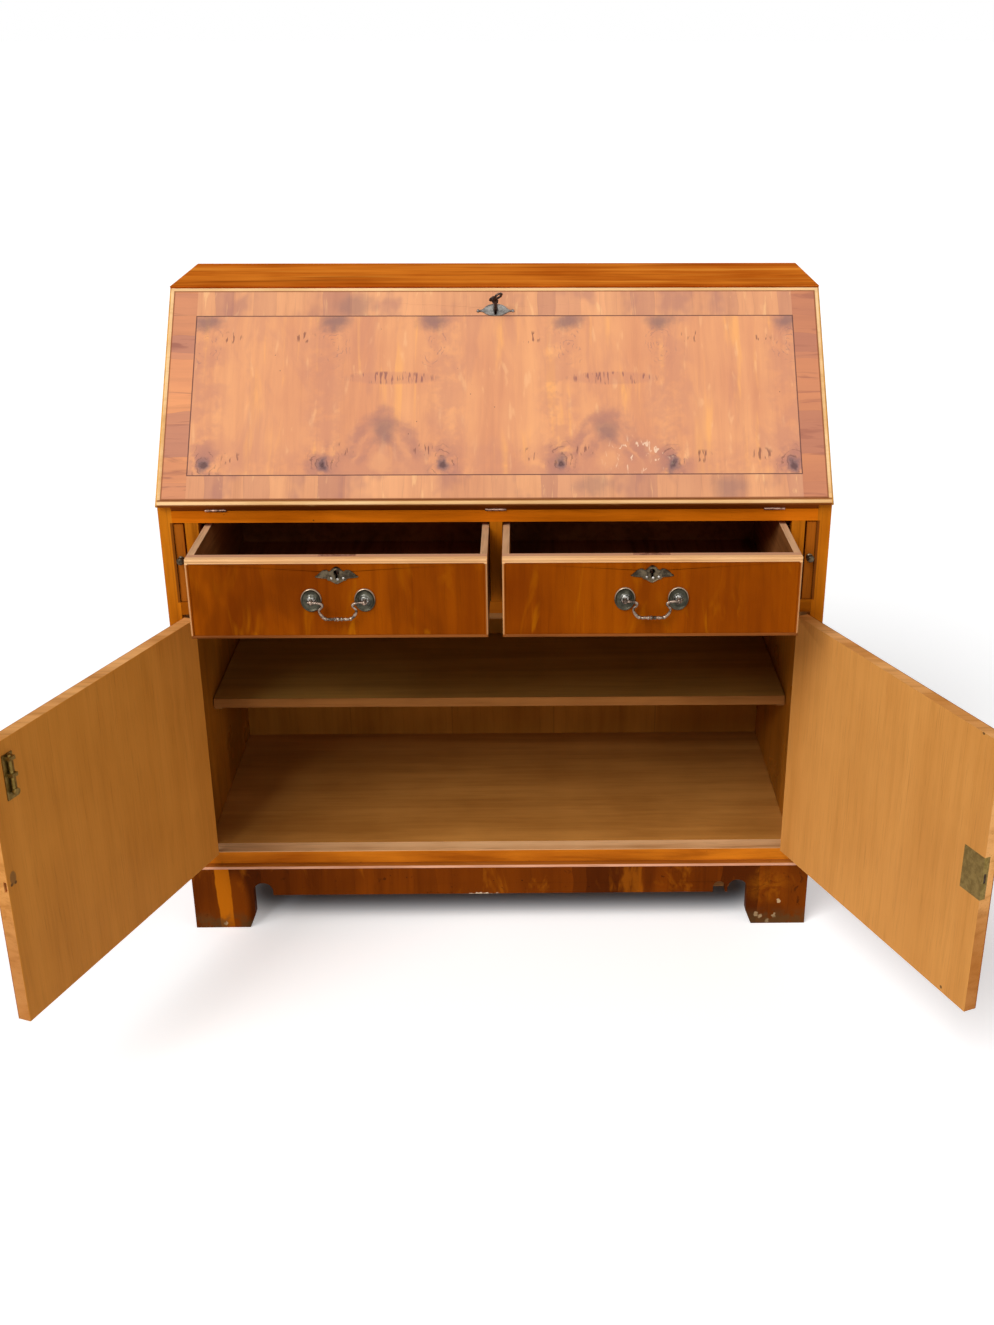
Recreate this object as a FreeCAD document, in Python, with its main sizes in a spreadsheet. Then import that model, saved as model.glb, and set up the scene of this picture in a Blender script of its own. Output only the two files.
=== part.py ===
import FreeCAD, Part
import Sketcher
import os
import math
import re

# A slant-front writing bureau over a cupboard: two drawers between pull-out supports, two doors below.
# Millimetres and degrees. x runs to the right, y to the back and z up. The origin is on the floor,
# midway along the front plane of the carcase.

SIZES = {
    # carcase
    "carcase_width": 1000,
    "carcase_depth": 450,
    "side_board": 20,
    "top_board": 18,
    "back_board": 12,
    # heights of the front, stacked from the floor
    "base_height": 112,
    "bottom_rail_height": 29,
    "door_space": 416,
    "mid_rail_height": 20,
    "drawer_space": 126,
    "bed_board": 19,
    "desk_space": 269,
    # base with its bracket feet
    "plinth_board": 18,
    "plinth_step": 8,
    "apron_height": 62,
    "foot_width": 100,
    "arch_width": 32,
    "arch_height": 85,
    "toe_width": 10,
    "toe_height": 25,
    "hollow_radius": 10,
    "hollow_reach": 46,
    "moulding_height": 7,
    "moulding_round": 6,
    "mitre_gap": 0.1,
    "corner_block": 38,
    "corner_block_height": 88,
    "rear_bracket": 110,
    # cupboard
    "bottom_rail_depth": 28,
    "floor_board": 18,
    "shelf_rise": 206,
    "shelf_board": 16,
    "shelf_setback": 150,
    "shelf_end_gap": 1.5,
    "shelf_back_gap": 3,
    "peg_radius": 4,
    "peg_show": 12,
    "peg_sunk": 10,
    "peg_inset": 14,
    "peg_fit": 0.05,
    "mid_rail_depth": 60,
    "dust_board": 12,
    "stop_rail_height": 17,
    "stop_rail_depth": 12,
    "stop_gap": 0.5,
    # uprights between the drawers and the supports
    "loper_slot": 18,
    "partition_board": 20,
    "centre_board": 19,
    # fall front
    "fall_board": 20,
    "slope_angle": 48.6,
    "hinge_ahead": 1.2,
    "hinge_above": 0.5,
    "lip_board": 9,
    "lip_lap": 12,
    "lip_gap": 0.5,
    "lip_face": 8,
    "lip_step": 1.5,
    "lip_round": 5,
    "fall_side_gap": 1,
    "leather_border": 34,
    "leather_thick": 1.2,
    # fall lock and key
    "fall_key_drop": 42,
    "fall_lock_width": 64,
    "fall_lock_height": 46,
    "fall_lock_depth": 9,
    "lock_fit": 0.3,
    "bolt_width": 22,
    "bolt_thick": 3,
    "bolt_length": 14,
    "bolt_throw": 8,
    "key_radius": 2.4,
    "key_out": 30,
    "key_in": 16,
    "key_bit": 8,
    "key_bit_thick": 2.4,
    "key_tilt": 28,
    "bow_half_width": 10,
    "bow_thick": 3.6,
    "bow_hole": 3.1,
    "bow_hole_reach": 4.6,
    "keyhole_radius": 3.2,
    "keyhole_slot": 9,
    "keyhole_slot_width": 3.4,
    # fall keyhole plate
    "plate_thick": 1.5,
    "lens_half_width": 26,
    "lens_half_height": 10.5,
    "lens_ball": 2.4,
    # hinges
    "leaf_thick": 1.2,
    "pin_fit": 0.05,
    "barrel_gap": 0.3,
    "fall_hinge_length": 31,
    "fall_hinge_radius": 2.3,
    "fall_hinge_pin": 1,
    "fall_leaf_width": 25,
    "fall_hinge_inset": 66,
    "door_hinge_length": 42,
    "door_hinge_radius": 3.3,
    "door_hinge_pin": 1.4,
    "door_leaf_width": 17,
    "door_hinge_inset": 54,
    # doors
    "door_board": 20,
    "door_gap": 2,
    "door_side_gap": 1,
    "door_meeting_gap": 1.5,
    "door_pivot_ahead": 3.5,
    "door_pivot_in": 0.8,
    "door_left_angle": 111.6,
    "door_right_angle": 112.8,
    "door_lock_width": 41.5,
    "door_lock_height": 65,
    "door_lock_rise": 5.5,
    "door_lock_depth": 9,
    "door_bolt_height": 14,
    "door_bolt_length": 24,
    "door_bolt_throw": 9,
    "strike_depth": 12,
    "bolt_plate_width": 20,
    "bolt_plate_height": 64,
    "bolt_plate_thick": 1.6,
    "bolt_plate_drop": 20,
    "bolt_plate_edge": 25,
    "slide_bolt_radius": 3,
    "slide_bolt_length": 55,
    "slide_bolt_throw": 10,
    "slide_bolt_knob": 5,
    "keeper_width": 5,
    "keeper_wall": 2,
    # drawers
    "drawer_pull": 145,
    "drawer_gap": 1,
    "drawer_outer_gap": 7.5,
    "drawer_low_gap": 0.3,
    "drawer_top_gap": 6.5,
    "drawer_front": 20,
    "slide_back_gap": 38,
    "drawer_side": 10,
    "drawer_back": 9,
    "drawer_bottom": 6,
    "drawer_bottom_rise": 7,
    "drawer_back_drop": 12,
    "bead_face": 4.5,
    "bead_top_face": 7,
    "bead_depth": 9,
    "bead_proud": 1.5,
    "bead_round": 1.4,
    "drawer_lock_width": 52,
    "drawer_lock_height": 42,
    "drawer_lock_depth": 8,
    "drawer_key_drop": 19.8,
    "wing_half_span": 31,
    "wing_half_height": 13,
    "wing_drop": 25.4,
    "wing_bead": 1.9,
    "wing_bead_reach": 9,
    "wing_bead_drop": 6,
    # drawer handles
    "handle_drop": 61.2,
    "handle_half_span": 38,
    "rosette_half_width": 15,
    "rosette_half_height": 17.5,
    "rosette_dome": 9,
    "post_radius": 4,
    "post_axis": 12,
    "bail_radius": 1.7,
    "bail_fit": 0.08,
    "bail_drop": 24.8,
    "grip_half_length": 14,
    "grip_radius": 2.2,
    "grip_bead": 3.1,
    # supports of the fall
    "loper_gap": 0.7,
    "loper_inner_gap": 3.3,
    "loper_low_gap": 0.3,
    "loper_top_gap": 2.5,
    "loper_setback": 2.5,
    "knob_radius": 6,
    "knob_stem": 2.6,
    "knob_reach": 14,
    "knob_collar": 4,
    "knob_collar_thick": 1.4,
    "knob_rise": 5,
    # fittings inside the desk
    "gallery_fall_gap": 22.5,
    "gallery_height_share": 0.755,
    "gallery_board": 8,
    "gallery_end_gap": 0.5,
    "small_drawer_height_share": 0.234,
    "small_drawer_gap": 0.8,
    "small_drawer_low_gap": 0.4,
    "small_drawer_wall": 7,
    "small_drawer_base": 5,
    "small_drawer_back_gap": 14,
    "small_knob_radius": 5.5,
    "small_knob_stem": 2.2,
    "small_knob_reach": 12,
    # how far a cut runs past the face it opens on
    "overrun": 20,
}

# heights and reaches that follow from the sizes
PLACES = {
    "half_width": "carcase_width / 2",
    "inner_x": "half_width - side_board",
    "slot_x": "inner_x - loper_slot",
    "partition_x": "slot_x - partition_board",
    "centre_x": "centre_board / 2",
    "drawer_mid_x": "(centre_x + drawer_gap + partition_x - drawer_outer_gap) / 2",
    "loper_mid_x": "(slot_x + loper_inner_gap + inner_x - loper_gap) / 2",
    "back_y": "carcase_depth - back_board",
    "floor_z": "base_height + bottom_rail_height",
    "shelf_z": "floor_z + shelf_rise",
    "rail_low": "floor_z + door_space",
    "rail_high": "rail_low + mid_rail_height",
    "bed_low": "rail_high + drawer_space",
    "bed_top": "bed_low + bed_board",
    "top_low": "bed_top + desk_space",
    "total_height": "top_low + top_board",
    "pivot_y": "-hinge_ahead",
    "pivot_z": "bed_top + hinge_above",
    "foot_y": "pivot_y - fall_board * sin(slope_angle)",
    "foot_z": "pivot_z + fall_board * cos(slope_angle)",
    "fall_hinge_spacing": "inner_x - fall_hinge_inset",
    "fall_length": "(total_height - foot_z) / sin(slope_angle)",
    "body_length": "fall_length - lip_lap",
    "fall_key_u": "fall_length - fall_key_drop",
    "lip_depth": "lip_board + lip_gap",
    "plinth_x": "half_width + plinth_step",
    "plinth_in_x": "plinth_x - plinth_board",
    "plinth_in_y": "plinth_board - plinth_step",
    "foot_in": "plinth_x - foot_width",
    "rear_foot_y": "carcase_depth - foot_width",
    "front_foot_y": "foot_width - plinth_step",
    "apron_x": "foot_in - arch_width",
    "arch_spring": "arch_height - arch_width / 2",
    "door_low": "floor_z + door_gap",
    "door_high": "rail_low - door_gap",
    "door_lock_z": "(door_low + door_high) / 2 + door_lock_rise",
    "door_pivot_x": "inner_x - door_pivot_in",
    "door_near": "door_side_gap - door_pivot_in",
    "door_far": "door_pivot_x - door_meeting_gap / 2",
    "door_face": "door_pivot_ahead",
    "door_inside": "door_pivot_ahead + door_board",
    "door_lock_x": "door_far - door_lock_width / 2",
    "door_lock_y": "door_inside - door_lock_depth / 2",
    "bolt_plane": "-(lip_board + 2 * lip_step)",
    "slide_bolt_y": "door_inside + bolt_plate_thick + slide_bolt_radius + lock_fit",
    "slide_bolt_x": "door_far - bolt_plate_edge - bolt_plate_width / 2",
    "bolt_plate_high": "door_high - bolt_plate_drop",
    "drawer_low": "rail_high + drawer_low_gap",
    "drawer_high": "bed_low - drawer_top_gap",
    "drawer_key_z": "drawer_high - drawer_key_drop",
    "wing_z": "drawer_high - wing_drop",
    "handle_z": "drawer_high - handle_drop",
    "drawer_end": "back_y - slide_back_gap",
    "knob_z": "(rail_high + bed_low) / 2 + knob_rise",
    "gallery_top": "bed_top + desk_space * gallery_height_share",
    "gallery_mid": "bed_top + desk_space * small_drawer_height_share",
    "fall_inner_y": "foot_y + (gallery_top - foot_z) / tan(slope_angle) + fall_board / sin(slope_angle)",
    "gallery_y": "fall_inner_y + gallery_fall_gap",
    "small_drawer_end": "back_y - small_drawer_back_gap",
    "gallery_cell": "inner_x / 4",
}

os.makedirs("parts", exist_ok=True)
doc = FreeCAD.newDocument("writing_bureau")
sheet = doc.addObject("Spreadsheet::Sheet", "sizes")
for row, (size_name, size) in enumerate(SIZES.items(), start=1):
    sheet.set("A%d" % row, size_name)
    sheet.set("B%d" % row, str(size))
    sheet.setAlias("B%d" % row, size_name)


def refs(formula):
    """Point each size or place named in a formula at the object that holds it."""
    def swap(found):
        word = found.group(0)
        if word in SIZES:
            return "sizes." + word
        return "places." + word if word in PLACES else word
    return re.sub(r"[a-z][a-z_]*", swap, formula)


places = doc.addObject("App::VarSet", "places")
for place_name, place_formula in PLACES.items():
    places.addProperty("App::PropertyFloat", place_name)
for place_name, place_formula in PLACES.items():
    places.setExpression(place_name, refs(place_formula))
doc.recompute()

NODES = []
X_AXIS = FreeCAD.Vector(1, 0, 0)
Y_AXIS = FreeCAD.Vector(0, 1, 0)
Z_AXIS = FreeCAD.Vector(0, 0, 1)
SIDES = ((-1, "left"), (1, "right"))

# two places closer than this count as the same when edges are picked for rounding
TOUCHING = 0.01


def number(name):
    """The present value of a size or place."""
    return float(getattr(sheet if name in SIZES else places, name))


def move(thing, at):
    """Tie the position of an object to three formulas."""
    for letter, formula in zip("xyz", at):
        thing.setExpression("Placement.Base." + letter, refs(formula))
    return thing


def slab(name, xs, ys, zs):
    """A block between a low and a high limit along each axis."""
    block = doc.addObject("Part::Box", name)
    for side, (low, high) in zip(("Length", "Width", "Height"), (xs, ys, zs)):
        block.setExpression(side, refs("(%s) - (%s)" % (high, low)))
    return move(block, [limits[0] for limits in (xs, ys, zs)])


def rod(name, radius, axis, low, high, centre):
    """A cylinder along x, y or z, between two limits, about a centre given on the other two axes."""
    turn = {"x": (Y_AXIS, 90), "y": (X_AXIS, -90), "z": (Z_AXIS, 0)}[axis]
    bar = doc.addObject("Part::Cylinder", name)
    bar.Placement = FreeCAD.Placement(FreeCAD.Vector(), FreeCAD.Rotation(*turn))
    bar.setExpression("Radius", refs(radius))
    bar.setExpression("Height", refs("(%s) - (%s)" % (high, low)))
    at = list(centre)
    at.insert("xyz".index(axis), low)
    return move(bar, at)


def dome(name, half_sizes, at, upright):
    """Half an ellipsoid: half width, half height and rise; it faces the front if upright, else up."""
    shell = doc.addObject("Part::Ellipsoid", name)
    shell.Angle1 = 0
    if upright:
        turn_to(shell, X_AXIS, 90)
    for side, formula in zip(("Radius2", "Radius3", "Radius1"), half_sizes):
        shell.setExpression(side, refs(formula))
    return move(shell, at)


def joined(name, parts):
    """One solid made of pieces that overlap."""
    whole = doc.addObject("Part::MultiFuse", name)
    whole.Shapes = parts
    return whole


def less(name, base, tools):
    """A piece with others cut away from it."""
    tool = tools[0] if len(tools) == 1 else joined(name + "_cutters", tools)
    rest = doc.addObject("Part::Cut", name)
    rest.Base = base
    rest.Tool = tool
    return rest


def group(name, parts):
    """Separate pieces held together in one object."""
    bundle = doc.addObject("Part::Compound", name)
    bundle.Links = parts
    return bundle


def prism(name, plane_role, corners, low, high):
    """A padded outline whose corners are formulas in the plane, between two limits square to it."""
    body = doc.addObject("PartDesign::Body", name)
    sketch = body.newObject("Sketcher::SketchObject", name + "_outline")
    plane = [part for part in body.Origin.OriginFeatures if part.Role == plane_role][0]
    sketch.AttachmentSupport = (plane, [""])
    sketch.MapMode = "FlatFace"
    start = "-(%s)" % high if plane_role == "XZ_Plane" else low
    sketch.setExpression("AttachmentOffset.Base.z", refs(start))
    draw(sketch, corners)
    pad = body.newObject("PartDesign::Pad", name + "_pad")
    pad.Profile = sketch
    pad.setExpression("Length", refs("(%s) - (%s)" % (high, low)))
    return body


def turned(name, profile):
    """A body of revolution about z, from the (radius, height) corners of half its section."""
    body = doc.addObject("PartDesign::Body", name)
    sketch = body.newObject("Sketcher::SketchObject", name + "_profile")
    plane = [part for part in body.Origin.OriginFeatures if part.Role == "XZ_Plane"][0]
    axis = [part for part in body.Origin.OriginFeatures if part.Role == "Z_Axis"][0]
    sketch.AttachmentSupport = (plane, [""])
    sketch.MapMode = "FlatFace"
    draw(sketch, profile)
    lathe = body.newObject("PartDesign::Revolution", name + "_lathe")
    lathe.Profile = sketch
    lathe.ReferenceAxis = (axis, [""])
    return body


def draw(sketch, corners):
    """Draw a closed outline and hold every corner by its two distances from the origin."""
    count = len(corners)
    rough = [FreeCAD.Vector(step + 1, (3 * step) % 5 + 1, 0) for step in range(count)]
    for step in range(count):
        sketch.addGeometry(Part.LineSegment(rough[step], rough[(step + 1) % count]), False)
    for step in range(count):
        sketch.addConstraint(Sketcher.Constraint("Coincident", step, 2, (step + 1) % count, 1))
    for step, corner in enumerate(corners):
        for kind, formula in zip(("DistanceX", "DistanceY"), corner):
            held = sketch.addConstraint(Sketcher.Constraint(kind, -1, 1, step, 1, 1.0))
            sketch.setExpression("Constraints[%d]" % held, refs(formula))


def rounded(name, base, radius, wanted):
    """Round the edges of a piece whose middle point passes a test."""
    doc.recompute()
    chosen = []
    for index, edge in enumerate(base.Shape.Edges, start=1):
        if wanted(edge.BoundBox):
            chosen.append((index, number(radius), number(radius)))
    soft = doc.addObject("Part::Fillet", name)
    soft.Base = base
    soft.Edges = chosen
    return soft


def turn_to(thing, axis, degrees):
    """Give an object a fixed turn before its position is tied."""
    thing.Placement = FreeCAD.Placement(FreeCAD.Vector(), FreeCAD.Rotation(axis, degrees))
    return thing


FRAMES = {
    "fall": (("0", "foot_y", "foot_z"), X_AXIS, "slope_angle"),
    "door_left": (("-door_pivot_x", "-door_pivot_ahead", "0"), Z_AXIS, "-door_left_angle"),
    "door_right": (("door_pivot_x", "-door_pivot_ahead", "0"), Z_AXIS, "door_right_angle"),
    "drawer": (("0", "-drawer_pull", "0"), Z_AXIS, "0"),
}


def node(label, piece, frame=None):
    """Name a finished sub-part, set it in the frame of the thing it belongs to and list it."""
    if frame:
        piece = group(label + "_set", [piece])
        at, axis, angle = FRAMES[frame]
        turn_to(piece, axis, 1)
        piece.setExpression("Placement.Rotation.Angle", refs(angle))
        move(piece, at)
    piece.Label = label
    NODES.append(piece)
    return piece


def mirrored(side, low, high):
    """Limits along x of a stretch on one side of the middle."""
    return (low, high) if side > 0 else ("-(%s)" % high, "-(%s)" % low)


def both(limit):
    """Limits that lie the same distance either side of zero."""
    return ("-(%s)" % limit, limit)


def about(middle, half):
    """Limits that lie the same distance either side of a middle."""
    return ("(%s) - (%s)" % (middle, half), "(%s) + (%s)" % (middle, half))


# Hinges: half of one lies along z from 0, its leaf reaching to +y between two limits along x.

def hinge_half(name, kind, leaf_limits, reach, moving):
    """The leaf of a hinge with the barrel lengths that belong to it, bored for the pin."""
    radius = kind + "_hinge_radius"
    length = kind + "_hinge_length"
    clear = "%s + barrel_gap" % radius
    leaf = slab(name + "_leaf", leaf_limits, (clear, reach), ("0", length))
    third = "%s / 3" % length
    if moving:
        spans = [(third + " + barrel_gap", "2 * %s - barrel_gap" % third)]
    else:
        spans = [("0", third), ("2 * %s" % third, length)]
    pieces = [leaf]
    for turn, (low, high) in enumerate(spans):
        tab_reach = ("0", "%s + barrel_gap" % clear)
        pieces.append(slab("%s_tab_%d" % (name, turn), leaf_limits, tab_reach, (low, high)))
        pieces.append(rod("%s_barrel_%d" % (name, turn), radius, "z", low, high, ("0", "0")))
    bore_radius = "%s_hinge_pin + pin_fit" % kind
    bore = rod(name + "_bore", bore_radius, "z", "-overrun", length + " + overrun", ("0", "0"))
    return less(name, joined(name + "_plate", pieces), [bore])


def hinge_pin(name, kind):
    """The pin that runs the length of a hinge."""
    return rod(name, kind + "_hinge_pin", "z", "0", kind + "_hinge_length", ("0", "0"))


# Bureau carcase: sides, top, bed, rails and uprights

def fall_clearance(name):
    """The space above the side and top edges that the closed fall needs."""
    over_lip = slab(name + "_lip", both("carcase_width"),
                    ("-fall_length", "fall_length + lip_gap"), ("-lip_depth", "fall_length"))
    over_body = slab(name + "_body", both("carcase_width"),
                     ("-fall_length", "body_length + lip_gap"), ("-(fall_board + overrun)", "fall_length"))
    for space in (over_lip, over_body):
        yield space


def in_fall_frame(name, pieces):
    """Pieces set on the slope of the fall."""
    bundle = group(name, pieces)
    at, axis, angle = FRAMES["fall"]
    turn_to(bundle, axis, 1)
    bundle.setExpression("Placement.Rotation.Angle", refs(angle))
    return move(bundle, at)


def peg_places():
    """Depth and height of each shelf peg."""
    height = "shelf_z - shelf_board - peg_radius"
    for depth in ("shelf_setback + peg_inset", "back_y - shelf_back_gap - 2 * peg_inset"):
        yield depth, height


def hinge_heights():
    """Lower end of the bottom and the top door hinge."""
    return ("door_low + door_hinge_inset", "door_high - door_hinge_inset - door_hinge_length")


def make_sides():
    """Side boards with a sloping front edge, peg holes and sunk hinge seats."""
    for side, hand in SIDES:
        name = "side_" + hand
        board = slab(name + "_blank", mirrored(side, "inner_x", "half_width"),
                     ("0", "carcase_depth"), ("base_height", "top_low"))
        lip_space = next(fall_clearance(name + "_over"))
        cutters = [in_fall_frame(name + "_slope", [lip_space])]
        for turn, (depth, height) in enumerate(peg_places()):
            cutters.append(rod("%s_peg_hole_%d" % (name, turn), "peg_radius + peg_fit", "x",
                               *mirrored(side, "inner_x - overrun", "inner_x + peg_sunk"), (depth, height)))
        for turn, low in enumerate(hinge_heights()):
            cutters.append(slab("%s_hinge_seat_%d" % (name, turn),
                                mirrored(side, "inner_x - overrun", "inner_x + leaf_thick"),
                                ("-overrun", "door_leaf_width - door_pivot_ahead"),
                                (low, "%s + door_hinge_length" % low)))
        node(name, less(name + "_cut", board, cutters))


def make_top():
    """Top board, bevelled in front to fit behind the lip and body of the fall."""
    board = slab("top_blank", both("half_width"), ("0", "carcase_depth"), ("top_low", "total_height"))
    bolt_hole = slab("top_bolt_hole", both("bolt_width / 2 + lock_fit"),
                     ("body_length - overrun", "body_length + bolt_throw + lip_gap"),
                     ("bolt_plane - bolt_thick - lock_fit", "bolt_plane + lock_fit"))
    front = joined("top_front", list(fall_clearance("top_over")) + [bolt_hole])
    node("top_board", less("top_cut", board, [in_fall_frame("top_front_space", [front])]))


def make_bed():
    """Board at writing level, notched at its front edge for the fall hinges."""
    board = slab("bed_blank", both("inner_x"), ("0", "back_y"), ("bed_low", "bed_top"))
    cutters = []
    for turn, middle in enumerate(fall_hinge_places()):
        span = about(middle, "fall_hinge_length / 2 + barrel_gap")
        cutters.append(rod("bed_notch_%d" % turn, "fall_hinge_radius + barrel_gap", "x", *span,
                           ("pivot_y", "pivot_z")))
        cutters.append(slab("bed_seat_%d" % turn, about(middle, "fall_hinge_length / 2"),
                            ("-overrun", "pivot_y + fall_leaf_width"),
                            ("pivot_z - leaf_thick", "bed_top + overrun")))
    node("bed_board", less("bed_cut", board, cutters))


def make_rails():
    """Rails, dust board and uprights of the front, and the floor of the cupboard."""
    rail = slab("mid_rail_piece", both("inner_x"), ("0", "mid_rail_depth"), ("rail_low", "rail_high"))
    node("mid_rail", rail)
    node("dust_board", slab("dust_board_piece", both("inner_x"), ("mid_rail_depth", "back_y"),
                            ("rail_high - dust_board", "rail_high")))
    stop = slab("stop_rail_blank", both("inner_x"), about("door_board + stop_gap + stop_rail_depth / 2",
                                                          "stop_rail_depth / 2"),
                ("rail_low - stop_rail_height", "rail_low"))
    keeper = rod("stop_rail_bolt_hole", "slide_bolt_radius + lock_fit", "z",
                 "rail_low - stop_rail_height - overrun", "rail_low - stop_gap",
                 ("slide_bolt_x - door_pivot_x", "slide_bolt_y - door_pivot_ahead"))
    node("door_stop_rail", less("stop_rail_cut", stop, [keeper]))
    uprights = [slab("upright_middle", both("centre_x"), ("0", "back_y"), ("rail_high", "bed_low"))]
    for side, hand in SIDES:
        uprights.append(slab("upright_" + hand, mirrored(side, "partition_x", "slot_x"), ("0", "back_y"),
                             ("rail_high", "bed_low")))
    node("front_uprights", group("front_uprights_set", uprights))
    node("bottom_rail", slab("bottom_rail_piece", both("inner_x"), ("0", "bottom_rail_depth"),
                             ("base_height", "floor_z")))
    node("cupboard_floor", slab("cupboard_floor_piece", both("inner_x"), ("bottom_rail_depth", "back_y"),
                                ("floor_z - floor_board", "floor_z")))


def make_back():
    """Five upright boards between the sides."""
    boards = []
    for count in range(5):
        xs = ("%d * inner_x / 5" % (2 * count - 5), "%d * inner_x / 5" % (2 * count - 3))
        boards.append(slab("back_board_%d" % count, xs, ("back_y", "carcase_depth"),
                           ("base_height", "top_low")))
    node("back_boards", group("back_boards_set", boards))


def make_shelf():
    """Loose cupboard shelf on four pegs."""
    node("shelf", slab("shelf_piece", both("inner_x - shelf_end_gap"),
                       ("shelf_setback", "back_y - shelf_back_gap"), ("shelf_z - shelf_board", "shelf_z")))
    pegs = []
    for side, hand in SIDES:
        for turn, (depth, height) in enumerate(peg_places()):
            pegs.append(rod("peg_%s_%d" % (hand, turn), "peg_radius", "x",
                            *mirrored(side, "inner_x - peg_show", "inner_x + peg_sunk"), (depth, height)))
    node("shelf_pegs", group("shelf_pegs_set", pegs))


# Base: bracket plinth, blocks and moulding

def foot_cutters(name, axis, inner_edge, way, low, high):
    """Arch beside a foot and the sloping toe, for a foot that ends at inner_edge along x or y."""
    sign = "%d * " % way
    far_edge = "%s - %sarch_width" % (inner_edge, sign)
    middle = "%s - %sarch_width / 2" % (inner_edge, sign)
    span = (far_edge, inner_edge) if way > 0 else (inner_edge, far_edge)
    upright = ("-overrun", "arch_spring")
    into_foot = "%s + %stoe_width" % (inner_edge, sign)
    into_arch = "%s - %stoe_width" % (inner_edge, sign)
    toe = [(inner_edge, "toe_height"), (into_foot, "0"), (into_foot, "-overrun"), (into_arch, "-overrun"),
           (into_arch, "toe_height")]
    if axis == "x":
        return [slab(name + "_arch", span, (low, high), upright),
                rod(name + "_crown", "arch_width / 2", "y", low, high, (middle, "arch_spring")),
                prism(name + "_toe", "XZ_Plane", toe, low, high)]
    return [slab(name + "_arch", (low, high), span, upright),
            rod(name + "_crown", "arch_width / 2", "x", low, high, (middle, "arch_spring")),
            prism(name + "_toe", "YZ_Plane", toe, low, high)]


def make_plinth():
    """Front and side aprons with bracket feet, rear brackets and corner blocks."""
    low, high = "-plinth_step - overrun", "plinth_board + overrun"
    front = slab("plinth_front_blank", both("plinth_x"), ("-plinth_step", "plinth_in_y"),
                 ("0", "base_height"))
    cutters = [slab("plinth_front_gap", both("apron_x"), (low, high), ("-overrun", "apron_height"))]
    for side, hand in SIDES:
        cutters += foot_cutters("plinth_front_" + hand, "x", "%d * foot_in" % side, side, low, high)
    cutters.append(rod("plinth_front_hollow", "hollow_radius", "y", low, high,
                       ("foot_in - hollow_reach", "apron_height + hollow_radius")))
    cutters.append(slab("plinth_front_hollow_mouth", about("foot_in - hollow_reach", "hollow_radius"),
                        (low, high), about("apron_height", "hollow_radius")))
    node("plinth_front", less("plinth_front_cut", front, cutters))
    flanks = []
    for side, hand in SIDES:
        name = "plinth_" + hand
        xs = mirrored(side, "plinth_in_x", "plinth_x")
        wide = mirrored(side, "plinth_in_x - overrun", "plinth_x + overrun")
        board = slab(name + "_blank", xs, ("plinth_in_y", "carcase_depth"), ("0", "base_height"))
        gap = slab(name + "_gap", wide, ("front_foot_y + arch_width", "rear_foot_y - arch_width"),
                   ("-overrun", "apron_height"))
        cutters = [gap]
        cutters += foot_cutters(name + "_front", "y", "front_foot_y", -1, *wide)
        cutters += foot_cutters(name + "_rear", "y", "rear_foot_y", 1, *wide)
        flanks.append(less(name + "_cut", board, cutters))
    node("plinth_sides", group("plinth_sides_set", flanks))
    brackets = []
    blocks = [slab("hollow_block", about("foot_in - hollow_reach", "corner_block / 2"),
                   ("plinth_in_y", "plinth_in_y + corner_block / 2"), ("apron_height", "base_height"))]
    for side, hand in SIDES:
        inner = "plinth_in_x - rear_bracket"
        board = slab("rear_bracket_blank_" + hand, mirrored(side, inner, "plinth_in_x"),
                     ("carcase_depth - plinth_board", "carcase_depth"), ("0", "base_height"))
        sweep = rod("rear_bracket_sweep_" + hand, "rear_bracket / 2", "y",
                    "carcase_depth - plinth_board - overrun", "carcase_depth + overrun",
                    ("%d * (%s)" % (side, inner), "rear_bracket / 4"))
        brackets.append(less("rear_bracket_" + hand, board, [sweep]))
        inside_back = "carcase_depth - plinth_board"
        for end, ys in (("front", ("plinth_in_y", "plinth_in_y + corner_block")),
                        ("rear", ("%s - corner_block" % inside_back, inside_back))):
            blocks.append(slab("corner_block_%s_%s" % (end, hand),
                               mirrored(side, "plinth_in_x - corner_block", "plinth_in_x"),
                               ys, ("base_height - corner_block_height", "base_height")))
    node("rear_brackets", group("rear_brackets_set", brackets))
    node("corner_blocks", group("corner_blocks_set", blocks))


def make_moulding():
    """Rounded moulding on top of the plinth, mitred at the two front corners."""
    zs = ("base_height", "base_height + moulding_height")
    outer = slab("moulding_outer", both("plinth_x"), ("-plinth_step", "carcase_depth"), zs)
    inner = slab("moulding_inner", both("half_width"), ("0", "carcase_depth + overrun"),
                 ("base_height - overrun", "base_height + overrun"))
    ring = less("moulding_ring", outer, [inner])
    top = number("base_height") + number("moulding_height")
    edge_x = number("half_width")
    soft = rounded("moulding_round_over", ring, "moulding_round", lambda box:
                   abs(box.ZMin - top) < TOUCHING and box.ZLength < TOUCHING
                   and (box.YMax < -TOUCHING
                        or (box.XLength < TOUCHING and abs(box.XMin) > edge_x + TOUCHING)))
    cutters = []
    for side, hand in SIDES:
        saw = slab("moulding_mitre_" + hand, ("0", "overrun"), ("0", "mitre_gap"), ("0", "2 * overrun"))
        turn_to(saw, Z_AXIS, 90 + 45 * side)
        cutters.append(move(saw, ("%d * plinth_x" % side, "-plinth_step", "base_height - overrun")))
    node("base_moulding", less("moulding_cut", soft, cutters))


# Fall front: in its own frame y runs up the slope, z out of the face, and 0 is the outer lower edge

def fall_hinge_places():
    """Middle of each fall hinge along x."""
    return ("-fall_hinge_spacing", "0", "fall_hinge_spacing")


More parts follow.
